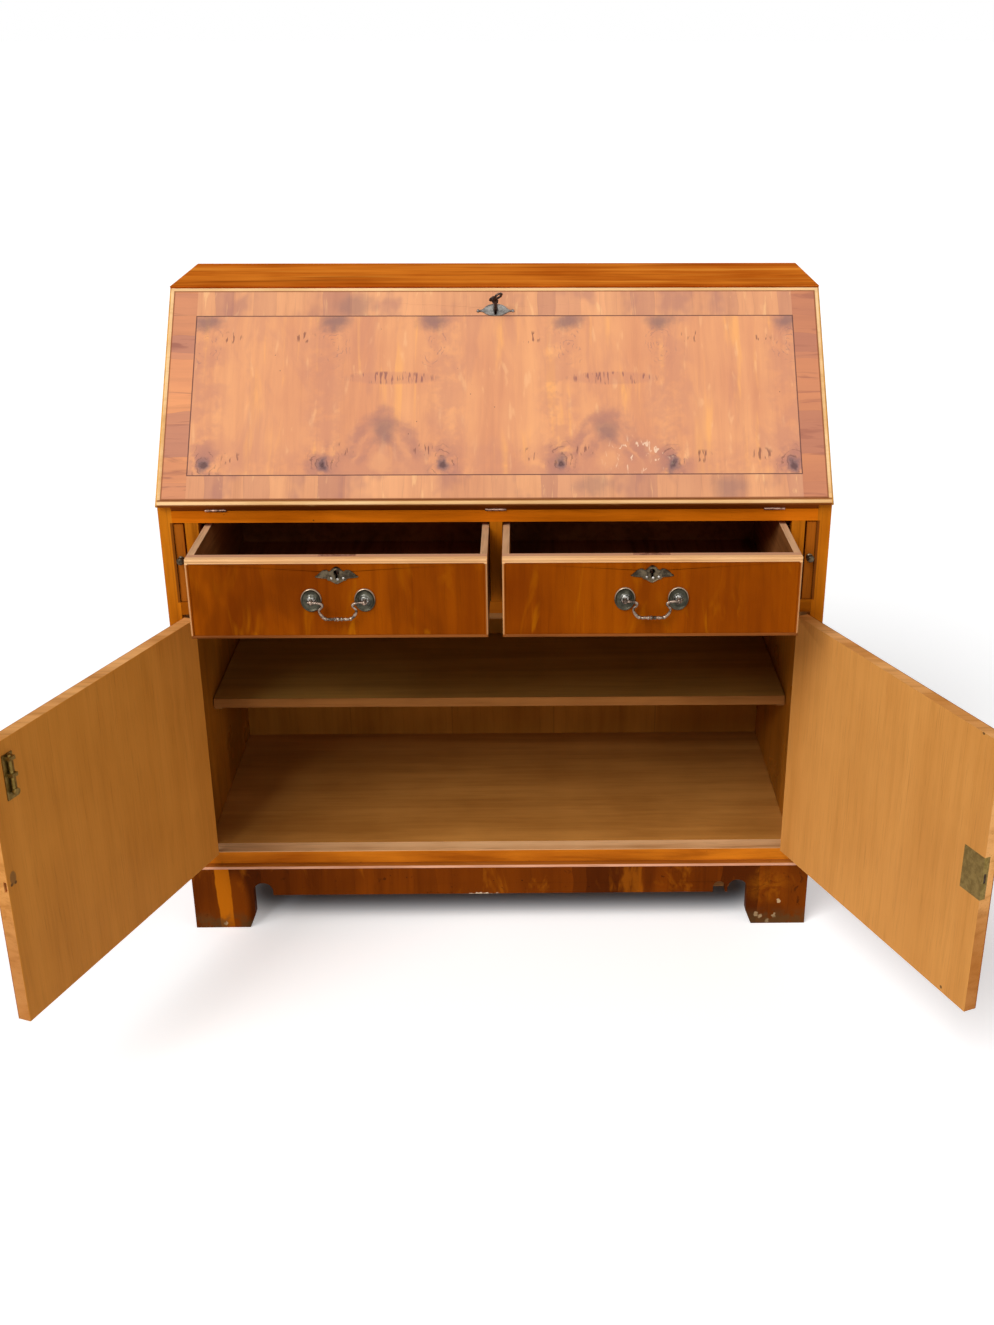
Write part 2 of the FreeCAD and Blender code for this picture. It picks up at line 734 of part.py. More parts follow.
def make_fall_hinges():
    """Three hinges: fixed halves and pins on the bed, moving halves on the fall."""
    fixed, moving = [], []
    for turn, middle in enumerate(fall_hinge_places()):
        start = "%s - fall_hinge_length / 2" % middle
        bed_half = hinge_half("bed_hinge_%d" % turn, "fall", ("0", "leaf_thick"), "fall_leaf_width", False)
        pin = hinge_pin("fall_pin_%d" % turn, "fall")
        for piece in (bed_half, pin):
            turn_to(piece, Y_AXIS, 90)
            fixed.append(move(piece, (start, "pivot_y", "pivot_z")))
        fall_half = hinge_half("fall_hinge_%d" % turn, "fall", ("-leaf_thick", "0"), "fall_leaf_width", True)
        turn_to(fall_half, Y_AXIS, 90)
        moving.append(move(fall_half, (start, "0", "-fall_board")))
    node("bed_hinge_leaves", group("bed_hinge_set", fixed))
    node("fall_hinge_leaves", group("fall_hinge_moving", moving), "fall")


def keyhole(name, axis, centre, low, high):
    """Round hole with a slot below it; the slot points down the second axis of the plate."""
    across, along = centre
    slot_span = ("%s - keyhole_slot" % along, along)
    if axis == "z":
        return [rod(name + "_eye", "keyhole_radius", "z", low, high, centre),
                slab(name + "_slot", about(across, "keyhole_slot_width / 2"), slot_span, (low, high))]
    return [rod(name + "_eye", "keyhole_radius", "y", low, high, centre),
            slab(name + "_slot", about(across, "keyhole_slot_width / 2"), (low, high), slot_span)]


def make_fall():
    """Board, mitred lip, writing leather, lock, bolt, key, keyhole plate."""
    inner_half = "inner_x - fall_side_gap"
    body = slab("fall_body", both(inner_half), ("0", "body_length"), ("-fall_board", "-lip_board"))
    field = slab("fall_field", both("half_width - lip_face"), ("lip_face", "fall_length - lip_face"),
                 ("-lip_board", "0"))
    cutters = []
    for turn, middle in enumerate(fall_hinge_places()):
        cutters.append(rod("fall_notch_%d" % turn, "fall_hinge_radius + barrel_gap", "x",
                           *about(middle, "fall_hinge_length / 2 + barrel_gap"), ("0", "-fall_board")))
        cutters.append(slab("fall_seat_%d" % turn, about(middle, "fall_hinge_length / 2"),
                            ("-overrun", "fall_leaf_width"),
                            ("-(fall_board + overrun)", "leaf_thick - fall_board")))
    leather_x = both("%s - leather_border" % inner_half)
    leather_y = ("leather_border", "body_length - fall_lock_height - leather_border / 2")
    cutters.append(slab("fall_leather_recess", leather_x, leather_y,
                        ("-(fall_board + overrun)", "leather_thick - fall_board")))
    cutters.append(slab("fall_lock_recess", both("fall_lock_width / 2"),
                        ("body_length - fall_lock_height", "fall_length + overrun"),
                        ("-(fall_board + overrun)", "fall_lock_depth - fall_board")))
    cutters += keyhole("fall_keyhole", "z", ("0", "fall_key_u"), "-(fall_board + overrun)", "overrun")
    node("fall_board", less("fall_cut", joined("fall_blank", [body, field]), cutters), "fall")

    lip_blank = slab("lip_blank", both("half_width"), ("0", "fall_length"), ("-lip_board", "-lip_step"))
    lip_window = slab("lip_window", both("half_width - lip_face"), ("lip_face", "fall_length - lip_face"),
                      ("-(lip_board + overrun)", "overrun"))
    ring = less("lip_ring", lip_blank, [lip_window])
    reach_x = number("half_width")
    reach_u = number("fall_length")
    level = -number("lip_step")
    soft = rounded("lip_round_over", ring, "lip_round", lambda box:
                   abs(box.ZMin - level) < TOUCHING and box.ZLength < TOUCHING
                   and (max(abs(box.XMin), abs(box.XMax)) > reach_x - TOUCHING
                        and (box.XLength < TOUCHING
                             or min(abs(box.YMin), abs(box.YMax - reach_u)) < TOUCHING)))
    mitres = []
    for side, hand in SIDES:
        for end, along, angle in (("low", "0", 90 + 45 * side), ("high", "fall_length", -90 - 45 * side)):
            saw = slab("lip_mitre_%s_%s" % (hand, end), ("0", "overrun"), ("0", "mitre_gap"),
                       ("0", "2 * overrun"))
            turn_to(saw, Z_AXIS, angle)
            mitres.append(move(saw, ("%d * half_width" % side, along, "-(lip_board + overrun)")))
    node("fall_lip", less("lip_cut", soft, mitres), "fall")
    node("writing_leather", slab("leather_piece", leather_x, leather_y,
                                 ("-fall_board", "leather_thick - fall_board")), "fall")

    case = slab("fall_lock_blank", both("fall_lock_width / 2"),
                ("body_length - fall_lock_height", "body_length"),
                ("-fall_board", "fall_lock_depth - fall_board"))
    room = rod("fall_lock_room", "key_bit + 2 * lock_fit", "z", "-(key_in + 2 * lock_fit)", "overrun",
               ("0", "fall_key_u"))
    channel = slab("fall_lock_channel", both("bolt_width / 2 + lock_fit"),
                   ("fall_key_u", "body_length + overrun"),
                   ("bolt_plane - bolt_thick - lock_fit", "bolt_plane + lock_fit"))
    node("fall_lock", less("fall_lock_cut", case, [room, channel]), "fall")
    bolt = slab("fall_bolt_piece", both("bolt_width / 2"),
                ("body_length - lock_fit - bolt_length", "body_length - lock_fit"),
                ("bolt_plane - bolt_thick", "bolt_plane"))
    node("fall_lock_bolt", bolt, "fall")

    plate = [dome("lens_disc", ("lens_half_width", "lens_half_height", "plate_thick"),
                  ("0", "fall_key_u", "0"), False)]
    for side, hand in SIDES:
        plate.append(dome("lens_tip_" + hand, ("lens_ball", "lens_ball", "lens_ball"),
                          ("%d * (lens_half_width + lens_ball / 2)" % side, "fall_key_u", "0"), False))
    hole = keyhole("lens_keyhole", "z", ("0", "fall_key_u"), "-overrun", "overrun")
    node("fall_escutcheon", less("lens_cut", joined("lens_whole", plate), hole), "fall")
    make_key()


def make_key():
    """Key standing in the fall lock: shank, bit and pierced bow."""
    shank = rod("key_shank", "key_radius", "z", "-key_in", "key_out", ("0", "0"))
    collar = rod("key_collar", "key_radius + lip_step", "z", "key_out - key_radius", "key_out", ("0", "0"))
    bit = slab("key_bit_piece", both("key_bit_thick / 2"), ("-key_bit", "0"), ("-key_in", "bolt_plane"))
    middle = "key_out + bow_half_width - bow_hole_reach - lip_step"
    lobes = []
    holes = []
    for side, hand in SIDES:
        centre = ("%d * bow_hole_reach" % side, middle)
        lobes.append(rod("key_bow_lobe_" + hand, "bow_half_width - bow_hole_reach", "y",
                         *both("bow_thick / 2"), centre))
        holes.append(rod("key_bow_hole_" + hand, "bow_hole", "y", *both("overrun"), centre))
    whole = joined("key_whole", [less("key_bow", joined("key_bow_lobes", lobes), holes), collar, shank, bit])
    turn_to(whole, Z_AXIS, 1)
    whole.setExpression("Placement.Rotation.Angle", refs("key_tilt"))
    node("fall_key", move(whole, ("0", "fall_key_u", "0")), "fall")


# Doors: in their own frame the pivot is 0 and the closed door runs along x

def make_door_hinges():
    """Two hinges a door: fixed halves and pins on the sides, moving halves on the doors."""
    fixed = []
    for side, hand in SIDES:
        moving = []
        side_face = "door_pivot_in"
        side_leaf = mirrored(side, side_face, "%s + leaf_thick" % side_face)
        door_leaf = mirrored(-side, "door_near", "door_near + leaf_thick")
        for turn, low in enumerate(hinge_heights()):
            fixed_half = hinge_half("side_hinge_%s_%d" % (hand, turn), "door", side_leaf, "door_leaf_width",
                                    False)
            pin = hinge_pin("door_pin_%s_%d" % (hand, turn), "door")
            for piece in (fixed_half, pin):
                fixed.append(move(piece, ("%d * door_pivot_x" % side, "-door_pivot_ahead", low)))
            door_half = hinge_half("door_hinge_%s_%d" % (hand, turn), "door", door_leaf, "door_leaf_width",
                                   True)
            moving.append(move(door_half, ("0", "0", low)))
        node("door_%s_hinge_leaves" % hand, group("door_hinge_set_" + hand, moving), "door_" + hand)
    node("side_hinge_leaves", group("side_hinge_set", fixed))


def make_doors():
    """Door boards with hinge seats, and the right door's lock and the left door's bolt."""
    for side, hand in SIDES:
        name = "door_" + hand
        board = slab(name + "_blank", mirrored(-side, "door_near", "door_far"), ("door_face", "door_inside"),
                     ("door_low", "door_high"))
        cutters = []
        for turn, low in enumerate(hinge_heights()):
            cutters.append(slab("%s_hinge_seat_%d" % (name, turn),
                                mirrored(-side, "-overrun", "door_near + leaf_thick"),
                                ("0", "door_leaf_width"), (low, "%s + door_hinge_length" % low)))
        if side > 0:
            cutters += make_door_lock(name)
            make_door_escutcheon(name)
        else:
            cutters.append(slab("door_strike_mortise", ("door_far - strike_depth", "door_far + overrun"),
                                about("door_lock_y", "bolt_thick / 2 + 2 * lock_fit"),
                                about("door_lock_z", "door_bolt_height / 2 + 2 * lock_fit")))
            make_slide_bolt(name)
        node(name, less(name + "_cut", board, cutters), name)


def make_door_lock(frame):
    """Lock case and bolt of the right door; gives back the cuts its board needs."""
    lock_x = mirrored(-1, "door_far - door_lock_width", "door_far")
    lock_zs = about("door_lock_z", "door_lock_height / 2")
    key_at = ("-door_lock_x", "door_lock_z")
    case = slab("door_lock_blank", lock_x, ("door_inside - door_lock_depth", "door_inside"), lock_zs)
    channel = slab("door_lock_channel",
                   mirrored(-1, "door_far - door_bolt_length - 2 * lock_fit", "door_far + overrun"),
                   about("door_lock_y", "bolt_thick / 2 + lock_fit"),
                   about("door_lock_z", "door_bolt_height / 2 + lock_fit"))
    key_room = keyhole("door_lock_keyhole", "y", key_at, "door_face", "door_inside - leaf_thick")
    node("door_lock", less("door_lock_cut", case, [channel] + key_room), frame)
    bolt = slab("door_bolt_piece",
                mirrored(-1, "door_far - lock_fit - door_bolt_length", "door_far - lock_fit"),
                about("door_lock_y", "bolt_thick / 2"), about("door_lock_z", "door_bolt_height / 2"))
    node("door_lock_bolt", bolt, frame)
    recess = slab("door_lock_recess", mirrored(-1, "door_far - door_lock_width", "door_far + overrun"),
                  ("door_inside - door_lock_depth", "door_inside + overrun"), lock_zs)
    return [recess] + keyhole("door_keyhole", "y", key_at, "door_face - overrun", "door_inside + overrun")


def make_door_escutcheon(frame):
    """Keyhole plate on the outer face of the right door."""
    disc = dome("door_plate_disc", ("lens_half_height", "lens_half_width", "plate_thick"),
                ("-door_lock_x", "door_face", "door_lock_z"), True)
    holes = keyhole("door_plate_hole", "y", ("-door_lock_x", "door_lock_z"),
                    "door_face - overrun", "door_face + overrun")
    node("door_escutcheon", less("door_plate_cut", disc, holes), frame)


def make_slide_bolt(frame):
    """Plate with two keepers on the left door, and the necked bolt that slides in them."""
    top = "bolt_plate_high"
    bottom = "bolt_plate_high - bolt_plate_height"
    xs = about("slide_bolt_x", "bolt_plate_width / 2")
    pieces = [slab("bolt_plate_base", xs, ("door_inside", "door_inside + bolt_plate_thick"), (bottom, top))]
    reach = "slide_bolt_radius + lock_fit + keeper_wall"
    for turn, middle in enumerate(("%s - keeper_width" % top, "%s + 7 * keeper_width" % bottom)):
        pieces.append(slab("bolt_keeper_%d" % turn, about("slide_bolt_x", reach),
                           ("door_inside + bolt_plate_thick / 2", "slide_bolt_y + %s" % reach),
                           about(middle, "keeper_width / 2")))
    bore = rod("bolt_keeper_bore", "slide_bolt_radius + lock_fit", "z",
               "%s - overrun" % bottom, "%s + overrun" % top, ("slide_bolt_x", "slide_bolt_y"))
    node("door_bolt_plate", less("bolt_plate_cut", joined("bolt_plate_blank", pieces), [bore]), frame)
    high = "%s - stop_gap" % top
    low = "%s - slide_bolt_length" % high
    bar = rod("slide_bolt_bar", "slide_bolt_radius", "z", low, high, ("slide_bolt_x", "slide_bolt_y"))
    knob = rod("slide_bolt_button", "slide_bolt_knob", "y",
               "slide_bolt_y", "slide_bolt_y + slide_bolt_radius + keeper_wall",
               ("slide_bolt_x", "%s + slide_bolt_knob / 2" % low))
    node("door_slide_bolt", joined("slide_bolt_whole", [bar, knob]), frame)


# Drawers: drawn closed, then pulled out in their own frame

def make_drawer(side, hand):
    """Front, bead, box, lock, keyhole plate, rosettes and bail of one drawer."""
    name = "drawer_" + hand
    middle = "%d * drawer_mid_x" % side
    low_x, high_x = mirrored(side, "centre_x + drawer_gap", "partition_x - drawer_outer_gap")
    zs = ("drawer_low", "drawer_high")
    bead_outer = slab(name + "_bead_outer", (low_x, high_x), ("-bead_proud", "bead_depth"), zs)
    bead_inner = slab(name + "_bead_inner", ("%s + bead_face" % low_x, "%s - bead_face" % high_x),
                      ("-overrun", "overrun"), ("drawer_low + bead_face", "drawer_high - bead_top_face"))
    ring = less(name + "_bead_ring", bead_outer, [bead_inner])
    face_y = -number("bead_proud")
    bead = rounded(name + "_bead_round", ring, "bead_round", lambda box:
                   abs(box.YMin - face_y) < TOUCHING and box.YLength < TOUCHING)
    mitres = []
    for turn, (corner_x, corner_z, degrees) in enumerate((
            (low_x, "drawer_low", "-45"), (high_x, "drawer_low", "-135"),
            (low_x, "drawer_high", "atan(bead_top_face / bead_face)"),
            (high_x, "drawer_high", "180 deg - atan(bead_top_face / bead_face)"))):
        saw = slab("%s_mitre_%d" % (name, turn), ("0", "overrun"), ("0", "2 * overrun"), ("0", "mitre_gap"))
        turn_to(saw, Y_AXIS, 1)
        saw.setExpression("Placement.Rotation.Angle", refs(degrees))
        mitres.append(move(saw, (corner_x, "-overrun", corner_z)))
    node(name + "_bead", less(name + "_bead_cut", bead, mitres), "drawer")

    front = slab(name + "_front_blank", (low_x, high_x), ("0", "drawer_front"), zs)
    lock_xs = about(middle, "drawer_lock_width / 2")
    lock_ys = ("drawer_front - drawer_lock_depth", "drawer_front")
    lock_zs = ("drawer_high - drawer_lock_height", "drawer_high")
    recess = slab(name + "_lock_recess", lock_xs,
                  ("drawer_front - drawer_lock_depth", "drawer_front + overrun"),
                  ("drawer_high - drawer_lock_height", "drawer_high + overrun"))
    holes = keyhole(name + "_keyhole", "y", (middle, "drawer_key_z"), "-overrun", "drawer_front + overrun")
    node(name + "_front", less(name + "_front_cut", front, [ring, recess] + holes), "drawer")

    case = slab(name + "_lock_case", lock_xs, lock_ys, lock_zs)
    pocket = keyhole(name + "_lock_hole", "y", (middle, "drawer_key_z"), "0", "drawer_front - leaf_thick")
    node(name + "_lock", less(name + "_lock_cut", case, pocket), "drawer")

    walls = []
    inner_low, inner_high = "%s + drawer_side" % low_x, "%s - drawer_side" % high_x
    run = ("drawer_front", "drawer_end")
    walls.append(slab(name + "_wall_low", (low_x, inner_low), run, zs))
    walls.append(slab(name + "_wall_high", (inner_high, high_x), run, zs))
    walls.append(slab(name + "_rear", (inner_low, inner_high), ("drawer_end - drawer_back", "drawer_end"),
                      ("drawer_low + drawer_bottom_rise", "drawer_high - drawer_back_drop")))
    bottom = "drawer_low + drawer_bottom_rise"
    walls.append(slab(name + "_bottom", (inner_low, inner_high),
                      ("drawer_front", "drawer_end - drawer_back"),
                      (bottom, "%s + drawer_bottom" % bottom)))
    node(name + "_box", group(name + "_box_set", walls), "drawer")
    make_wing_plate(name, middle)
    make_handle(name, middle)


def make_wing_plate(name, middle):
    """Winged keyhole plate with a scalloped outline and three beads."""
    ys = ("-plate_thick", "0")
    outline = []
    across_shares = (0, 0.13, 0.2, 0.36, 0.54, 0.72, 0.86, 1, 0.88, 0.72, 0.54, 0.4, 0.24, 0.13)
    up_shares = (1, 0.9, 0.58, 0.74, 0.5, 0.6, 0.3, 0.02, -0.26, -0.4, -0.34, -0.7, -0.6, -0.9)
    for side, hand in SIDES:
        half = []
        for across, up in zip(across_shares, up_shares):
            half.append(("%s + %s * wing_half_span" % (middle, side * across),
                         "wing_z + %s * wing_half_height" % up))
        outline += half if side > 0 else [(middle, "wing_z - wing_half_height")] + half[:0:-1]
    plate = prism(name + "_wing_outline", "XZ_Plane", outline[1:] + outline[:1], *ys)
    bead_z = "wing_z - wing_bead_drop"
    beads = []
    for turn, offset in enumerate(("-wing_bead_reach", "0", "wing_bead_reach")):
        beads.append(dome("%s_wing_bead_%d" % (name, turn), ("wing_bead", "wing_bead", "wing_bead"),
                          ("%s + (%s)" % (middle, offset), "-plate_thick / 2", bead_z), True))
    holes = keyhole(name + "_wing_hole", "y", (middle, "drawer_key_z"), "-overrun", "overrun")
    whole = joined(name + "_wing_plate", [plate] + beads)
    node(name + "_escutcheon", less(name + "_wing_cut", whole, holes), "drawer")


def make_handle(name, middle):
    """Two domed rosettes with bored posts, and the bail that hangs between them."""
    rosettes = []
    for side, hand in SIDES:
        post_x = "%s + %d * handle_half_span" % (middle, side)
        tag = "%s_rosette_%s" % (name, hand)
        boss = dome(tag + "_dome", ("rosette_half_width", "rosette_half_height", "rosette_dome"),
                    (post_x, "0", "handle_z"), True)
        neck = rod(tag + "_neck", "post_radius - plate_thick", "y", "-post_axis", "-rosette_dome / 2",
                   (post_x, "handle_z"))
        eye_at = ("-post_axis", "handle_z")
        head = rod(tag + "_head", "post_radius", "x", *about(post_x, "post_radius"), eye_at)
        eye = rod(tag + "_eye", "bail_radius + bail_fit", "x", *about(post_x, "overrun"), eye_at)
        rosettes.append(less(tag, joined(tag + "_whole", [boss, neck, head]), [eye]))
    node(name + "_rosettes", group(name + "_rosette_set", rosettes), "drawer")
    bail = doc.addObject("Part::Feature", name + "_bail_piece")
    bail.Shape = bail_shape()
    node(name + "_bail", move(bail, (middle, "-post_axis", "handle_z")), "drawer")


def tube_path(points):
    """Straight runs joined by tangent arcs, each as large as the shorter of its two runs allows."""
    edges = []
    last = points[0]
    for before, corner, after in zip(points, points[1:], points[2:]):
        back = before - corner
        ahead = after - corner
        tangent = 0.45 * min(back.Length, ahead.Length)
        half_turn = (math.pi - back.getAngle(ahead)) / 2
        radius = tangent / math.tan(half_turn)
        inward = back.normalize() + ahead.normalize()
        start = corner + back * tangent
        end = corner + ahead * tangent
        middle = corner + inward.normalize() * (math.hypot(radius, tangent) - radius)
        edges += [Part.LineSegment(last, start).toShape(), Part.Arc(start, middle, end).toShape()]
        last = end
    return Part.Wire(edges + [Part.LineSegment(last, points[-1]).toShape()])


def bail_shape():
    """Bail about its pivot line: pins in the posts, S-shaped necks, and a beaded grip."""
    span = number("handle_half_span")
    drop = number("bail_drop")
    grip = number("grip_half_length")
    across_shares = (0.74, 0.67, 0.76, 0.63, 0.37)
    down_shares = (0, 0.33, 0.63, 0.95, 1)
    pin_end = FreeCAD.Vector(span + number("post_radius"), 0, 0)
    half = [pin_end]
    for across_share, down_share in zip(across_shares, down_shares):
        half.append(FreeCAD.Vector(span * across_share, 0, -drop * down_share))
    path = tube_path(half + [FreeCAD.Vector(-point.x, 0, point.z) for point in reversed(half)])
    section = Part.Wire([Part.Circle(pin_end, X_AXIS, number("bail_radius")).toShape()])
    wire = path.makePipeShell([section], True, False)
    grip_bar = Part.makeCylinder(number("grip_radius"), 2 * grip, FreeCAD.Vector(-grip, 0, -drop), X_AXIS)
    beads = []
    for share in (-0.34, 0, 0.34):
        beads.append(Part.makeSphere(number("grip_bead"), FreeCAD.Vector(share * grip, 0, -drop), Y_AXIS))
    return wire.fuse([grip_bar] + beads)


# Supports of the fall, and the fittings inside the desk

def knob_profile(head, stem, reach, collar, collar_thick):
    """Half section of a turned knob: collar, thin stem and rounded head."""
    corners = [("0", "0"), (collar, "0"), (collar, collar_thick), (stem, collar_thick)]
    out_shares = (None, 0.8, 1, 0.8, 0.4)
    back_shares = (1.75, 1.6, 1, 0.4, 0.08)
    for out, back in zip(out_shares, back_shares):
        across = "%s * %s" % (out, head) if out else stem
        corners.append((across, "%s - %s * %s" % (reach, back, head)))
    return corners + [("0", reach)]


def make_lopers():
    """Pull-out supports of the open fall, each with a turned knob."""
    for side, hand in SIDES:
        name = "loper_" + hand
        node(name, slab(name + "_piece", mirrored(side, "slot_x + loper_inner_gap", "inner_x - loper_gap"),
                        ("loper_setback", "drawer_end"),
                        ("rail_high + loper_low_gap", "bed_low - loper_top_gap")))
        profile = knob_profile("knob_radius", "knob_stem", "knob_reach", "knob_collar", "knob_collar_thick")
        knob = turned(name + "_knob_piece", profile)
        turn_to(knob, X_AXIS, 90)
        node(name + "_knob", move(knob, ("%d * loper_mid_x" % side, "loper_setback", "knob_z")))


def make_gallery():
    """Pigeonholes over two small drawers at the back of the desk."""
    xs = both("inner_x - gallery_end_gap")
    ys = ("gallery_y", "back_y")
    boards = [slab("gallery_shelf_low", xs, ys, ("gallery_mid", "gallery_mid + gallery_board")),
              slab("gallery_shelf_high", xs, ys, ("gallery_top - gallery_board", "gallery_top"))]
    for count in range(-3, 4):
        boards.append(slab("gallery_upright_%d" % (count + 3),
                           about("%d * gallery_cell" % count, "gallery_board / 2"),
                           ys, ("gallery_mid + gallery_board", "gallery_top - gallery_board")))
    for side, hand in SIDES:
        boards.append(slab("gallery_post_" + hand, about("%d * gallery_cell" % side, "gallery_board / 2"),
                           ys, ("bed_top", "gallery_mid")))
    node("pigeonholes", group("pigeonhole_set", boards))
    for side, hand in SIDES:
        name = "small_drawer_" + hand
        xs = mirrored(side, "gallery_cell + gallery_board / 2 + small_drawer_gap",
                      "inner_x - small_drawer_gap")
        run = ("gallery_y", "small_drawer_end")
        low = "bed_top + small_drawer_low_gap"
        block = slab(name + "_block", xs, run, (low, "gallery_mid - small_drawer_gap"))
        hollow = slab(name + "_hollow", ("%s + small_drawer_wall" % xs[0], "%s - small_drawer_wall" % xs[1]),
                      ("gallery_y + small_drawer_wall + small_drawer_base",
                       "small_drawer_end - small_drawer_wall"),
                      ("%s + small_drawer_base" % low, "gallery_mid + overrun"))
        node(name, less(name + "_cut", block, [hollow]))
        profile = knob_profile("small_knob_radius", "small_knob_stem", "small_knob_reach",
                               "small_knob_stem + leaf_thick", "leaf_thick")
        knob = turned(name + "_knob_piece", profile)
        turn_to(knob, X_AXIS, 90)
        node(name + "_knob", move(knob, ("(%s + %s) / 2" % xs, "gallery_y", "(bed_top + gallery_mid) / 2")))


make_sides()
make_top()
make_bed()
make_rails()
make_back()
make_shelf()
make_plinth()
make_moulding()
make_fall_hinges()
make_fall()
make_door_hinges()
make_doors()
for drawer_side, drawer_hand in SIDES:
    make_drawer(drawer_side, drawer_hand)
make_lopers()
make_gallery()
doc.recompute()

for thing in doc.Objects:
    if "Invalid" in thing.State or "Error" in thing.State:
        raise RuntimeError("not built: " + thing.Name)
for piece in NODES:
    if piece.Shape.isNull() or not piece.Shape.isValid() or not piece.Shape.Solids:
        raise RuntimeError("bad shape: " + piece.Label)
for piece in NODES:
    piece.Shape.exportStep("parts/%s.step" % piece.Label)
    print("%-26s %2d solids %12.0f mm3" % (piece.Label, len(piece.Shape.Solids), piece.Shape.Volume))
print(len(NODES), "nodes")
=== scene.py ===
import math

import bmesh
import bpy
from mathutils import Matrix, Vector, geometry


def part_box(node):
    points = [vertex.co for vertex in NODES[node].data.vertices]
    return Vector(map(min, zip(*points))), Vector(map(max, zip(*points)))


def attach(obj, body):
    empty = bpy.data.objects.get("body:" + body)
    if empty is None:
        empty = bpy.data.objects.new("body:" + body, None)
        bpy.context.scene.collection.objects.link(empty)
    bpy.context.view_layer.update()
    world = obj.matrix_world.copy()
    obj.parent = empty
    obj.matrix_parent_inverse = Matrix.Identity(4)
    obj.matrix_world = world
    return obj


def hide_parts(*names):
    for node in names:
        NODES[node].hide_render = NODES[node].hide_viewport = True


# Dresses the writing bureau: figured woods, veneer with crossbanding, aged brass and turned hardware.
# Metres, with x to the right, y to the back and z up. Colours are linear red, green and blue.

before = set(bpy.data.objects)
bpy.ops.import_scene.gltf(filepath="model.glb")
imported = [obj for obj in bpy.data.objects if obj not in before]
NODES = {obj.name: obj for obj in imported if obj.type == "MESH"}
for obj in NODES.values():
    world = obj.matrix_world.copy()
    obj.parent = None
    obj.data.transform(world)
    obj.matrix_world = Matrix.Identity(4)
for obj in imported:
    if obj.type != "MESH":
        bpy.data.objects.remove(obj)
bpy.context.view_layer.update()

SLOPE = math.radians(48.6)
FALL_FOOT = Vector((0, -0.016202, 0.735726))
FALL_LENGTH = 0.3643
UP_SLOPE = Vector((0, math.cos(SLOPE), math.sin(SLOPE)))
OUT_SLOPE = Vector((0, -math.sin(SLOPE), math.cos(SLOPE)))
HALF_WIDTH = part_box("side_right")[1].x
SIDE_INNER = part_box("side_right")[0].x
RAIL_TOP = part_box("mid_rail")[1].z
BED_LOW, BED_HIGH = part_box("bed_board")
DRAWER_LOW, DRAWER_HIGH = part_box("drawer_right_front")
MM = 0.001
RELIEF = 0.6
EAST, OUTWARD = Vector((1, 0, 0)), Vector((0, -1, 0))
HANDS = ((-1, "left"), (1, "right"))


def middle(node):
    """Middle of a CAD node's box."""
    low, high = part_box(node)
    return (low + high) / 2


# Material helpers

class Coat:
    """A colour in a shader that takes tints one after another."""

    def __init__(self, look, colour):
        self.look = look
        self.colour = colour

    def tint(self, mask, tint, strength=1.0):
        """Lay a tint over the colour where the mask is up."""
        self.colour = self.look.mix(self.look.times(mask, strength), self.colour, tint).colour

    def veil(self, value, low, high, tint, strength=1.0, *masks):
        """Lay a tint over the colour, more so as a value goes from low to high."""
        self.tint(self.look.times(self.look.ramp(value, low, high), *masks), tint, strength)


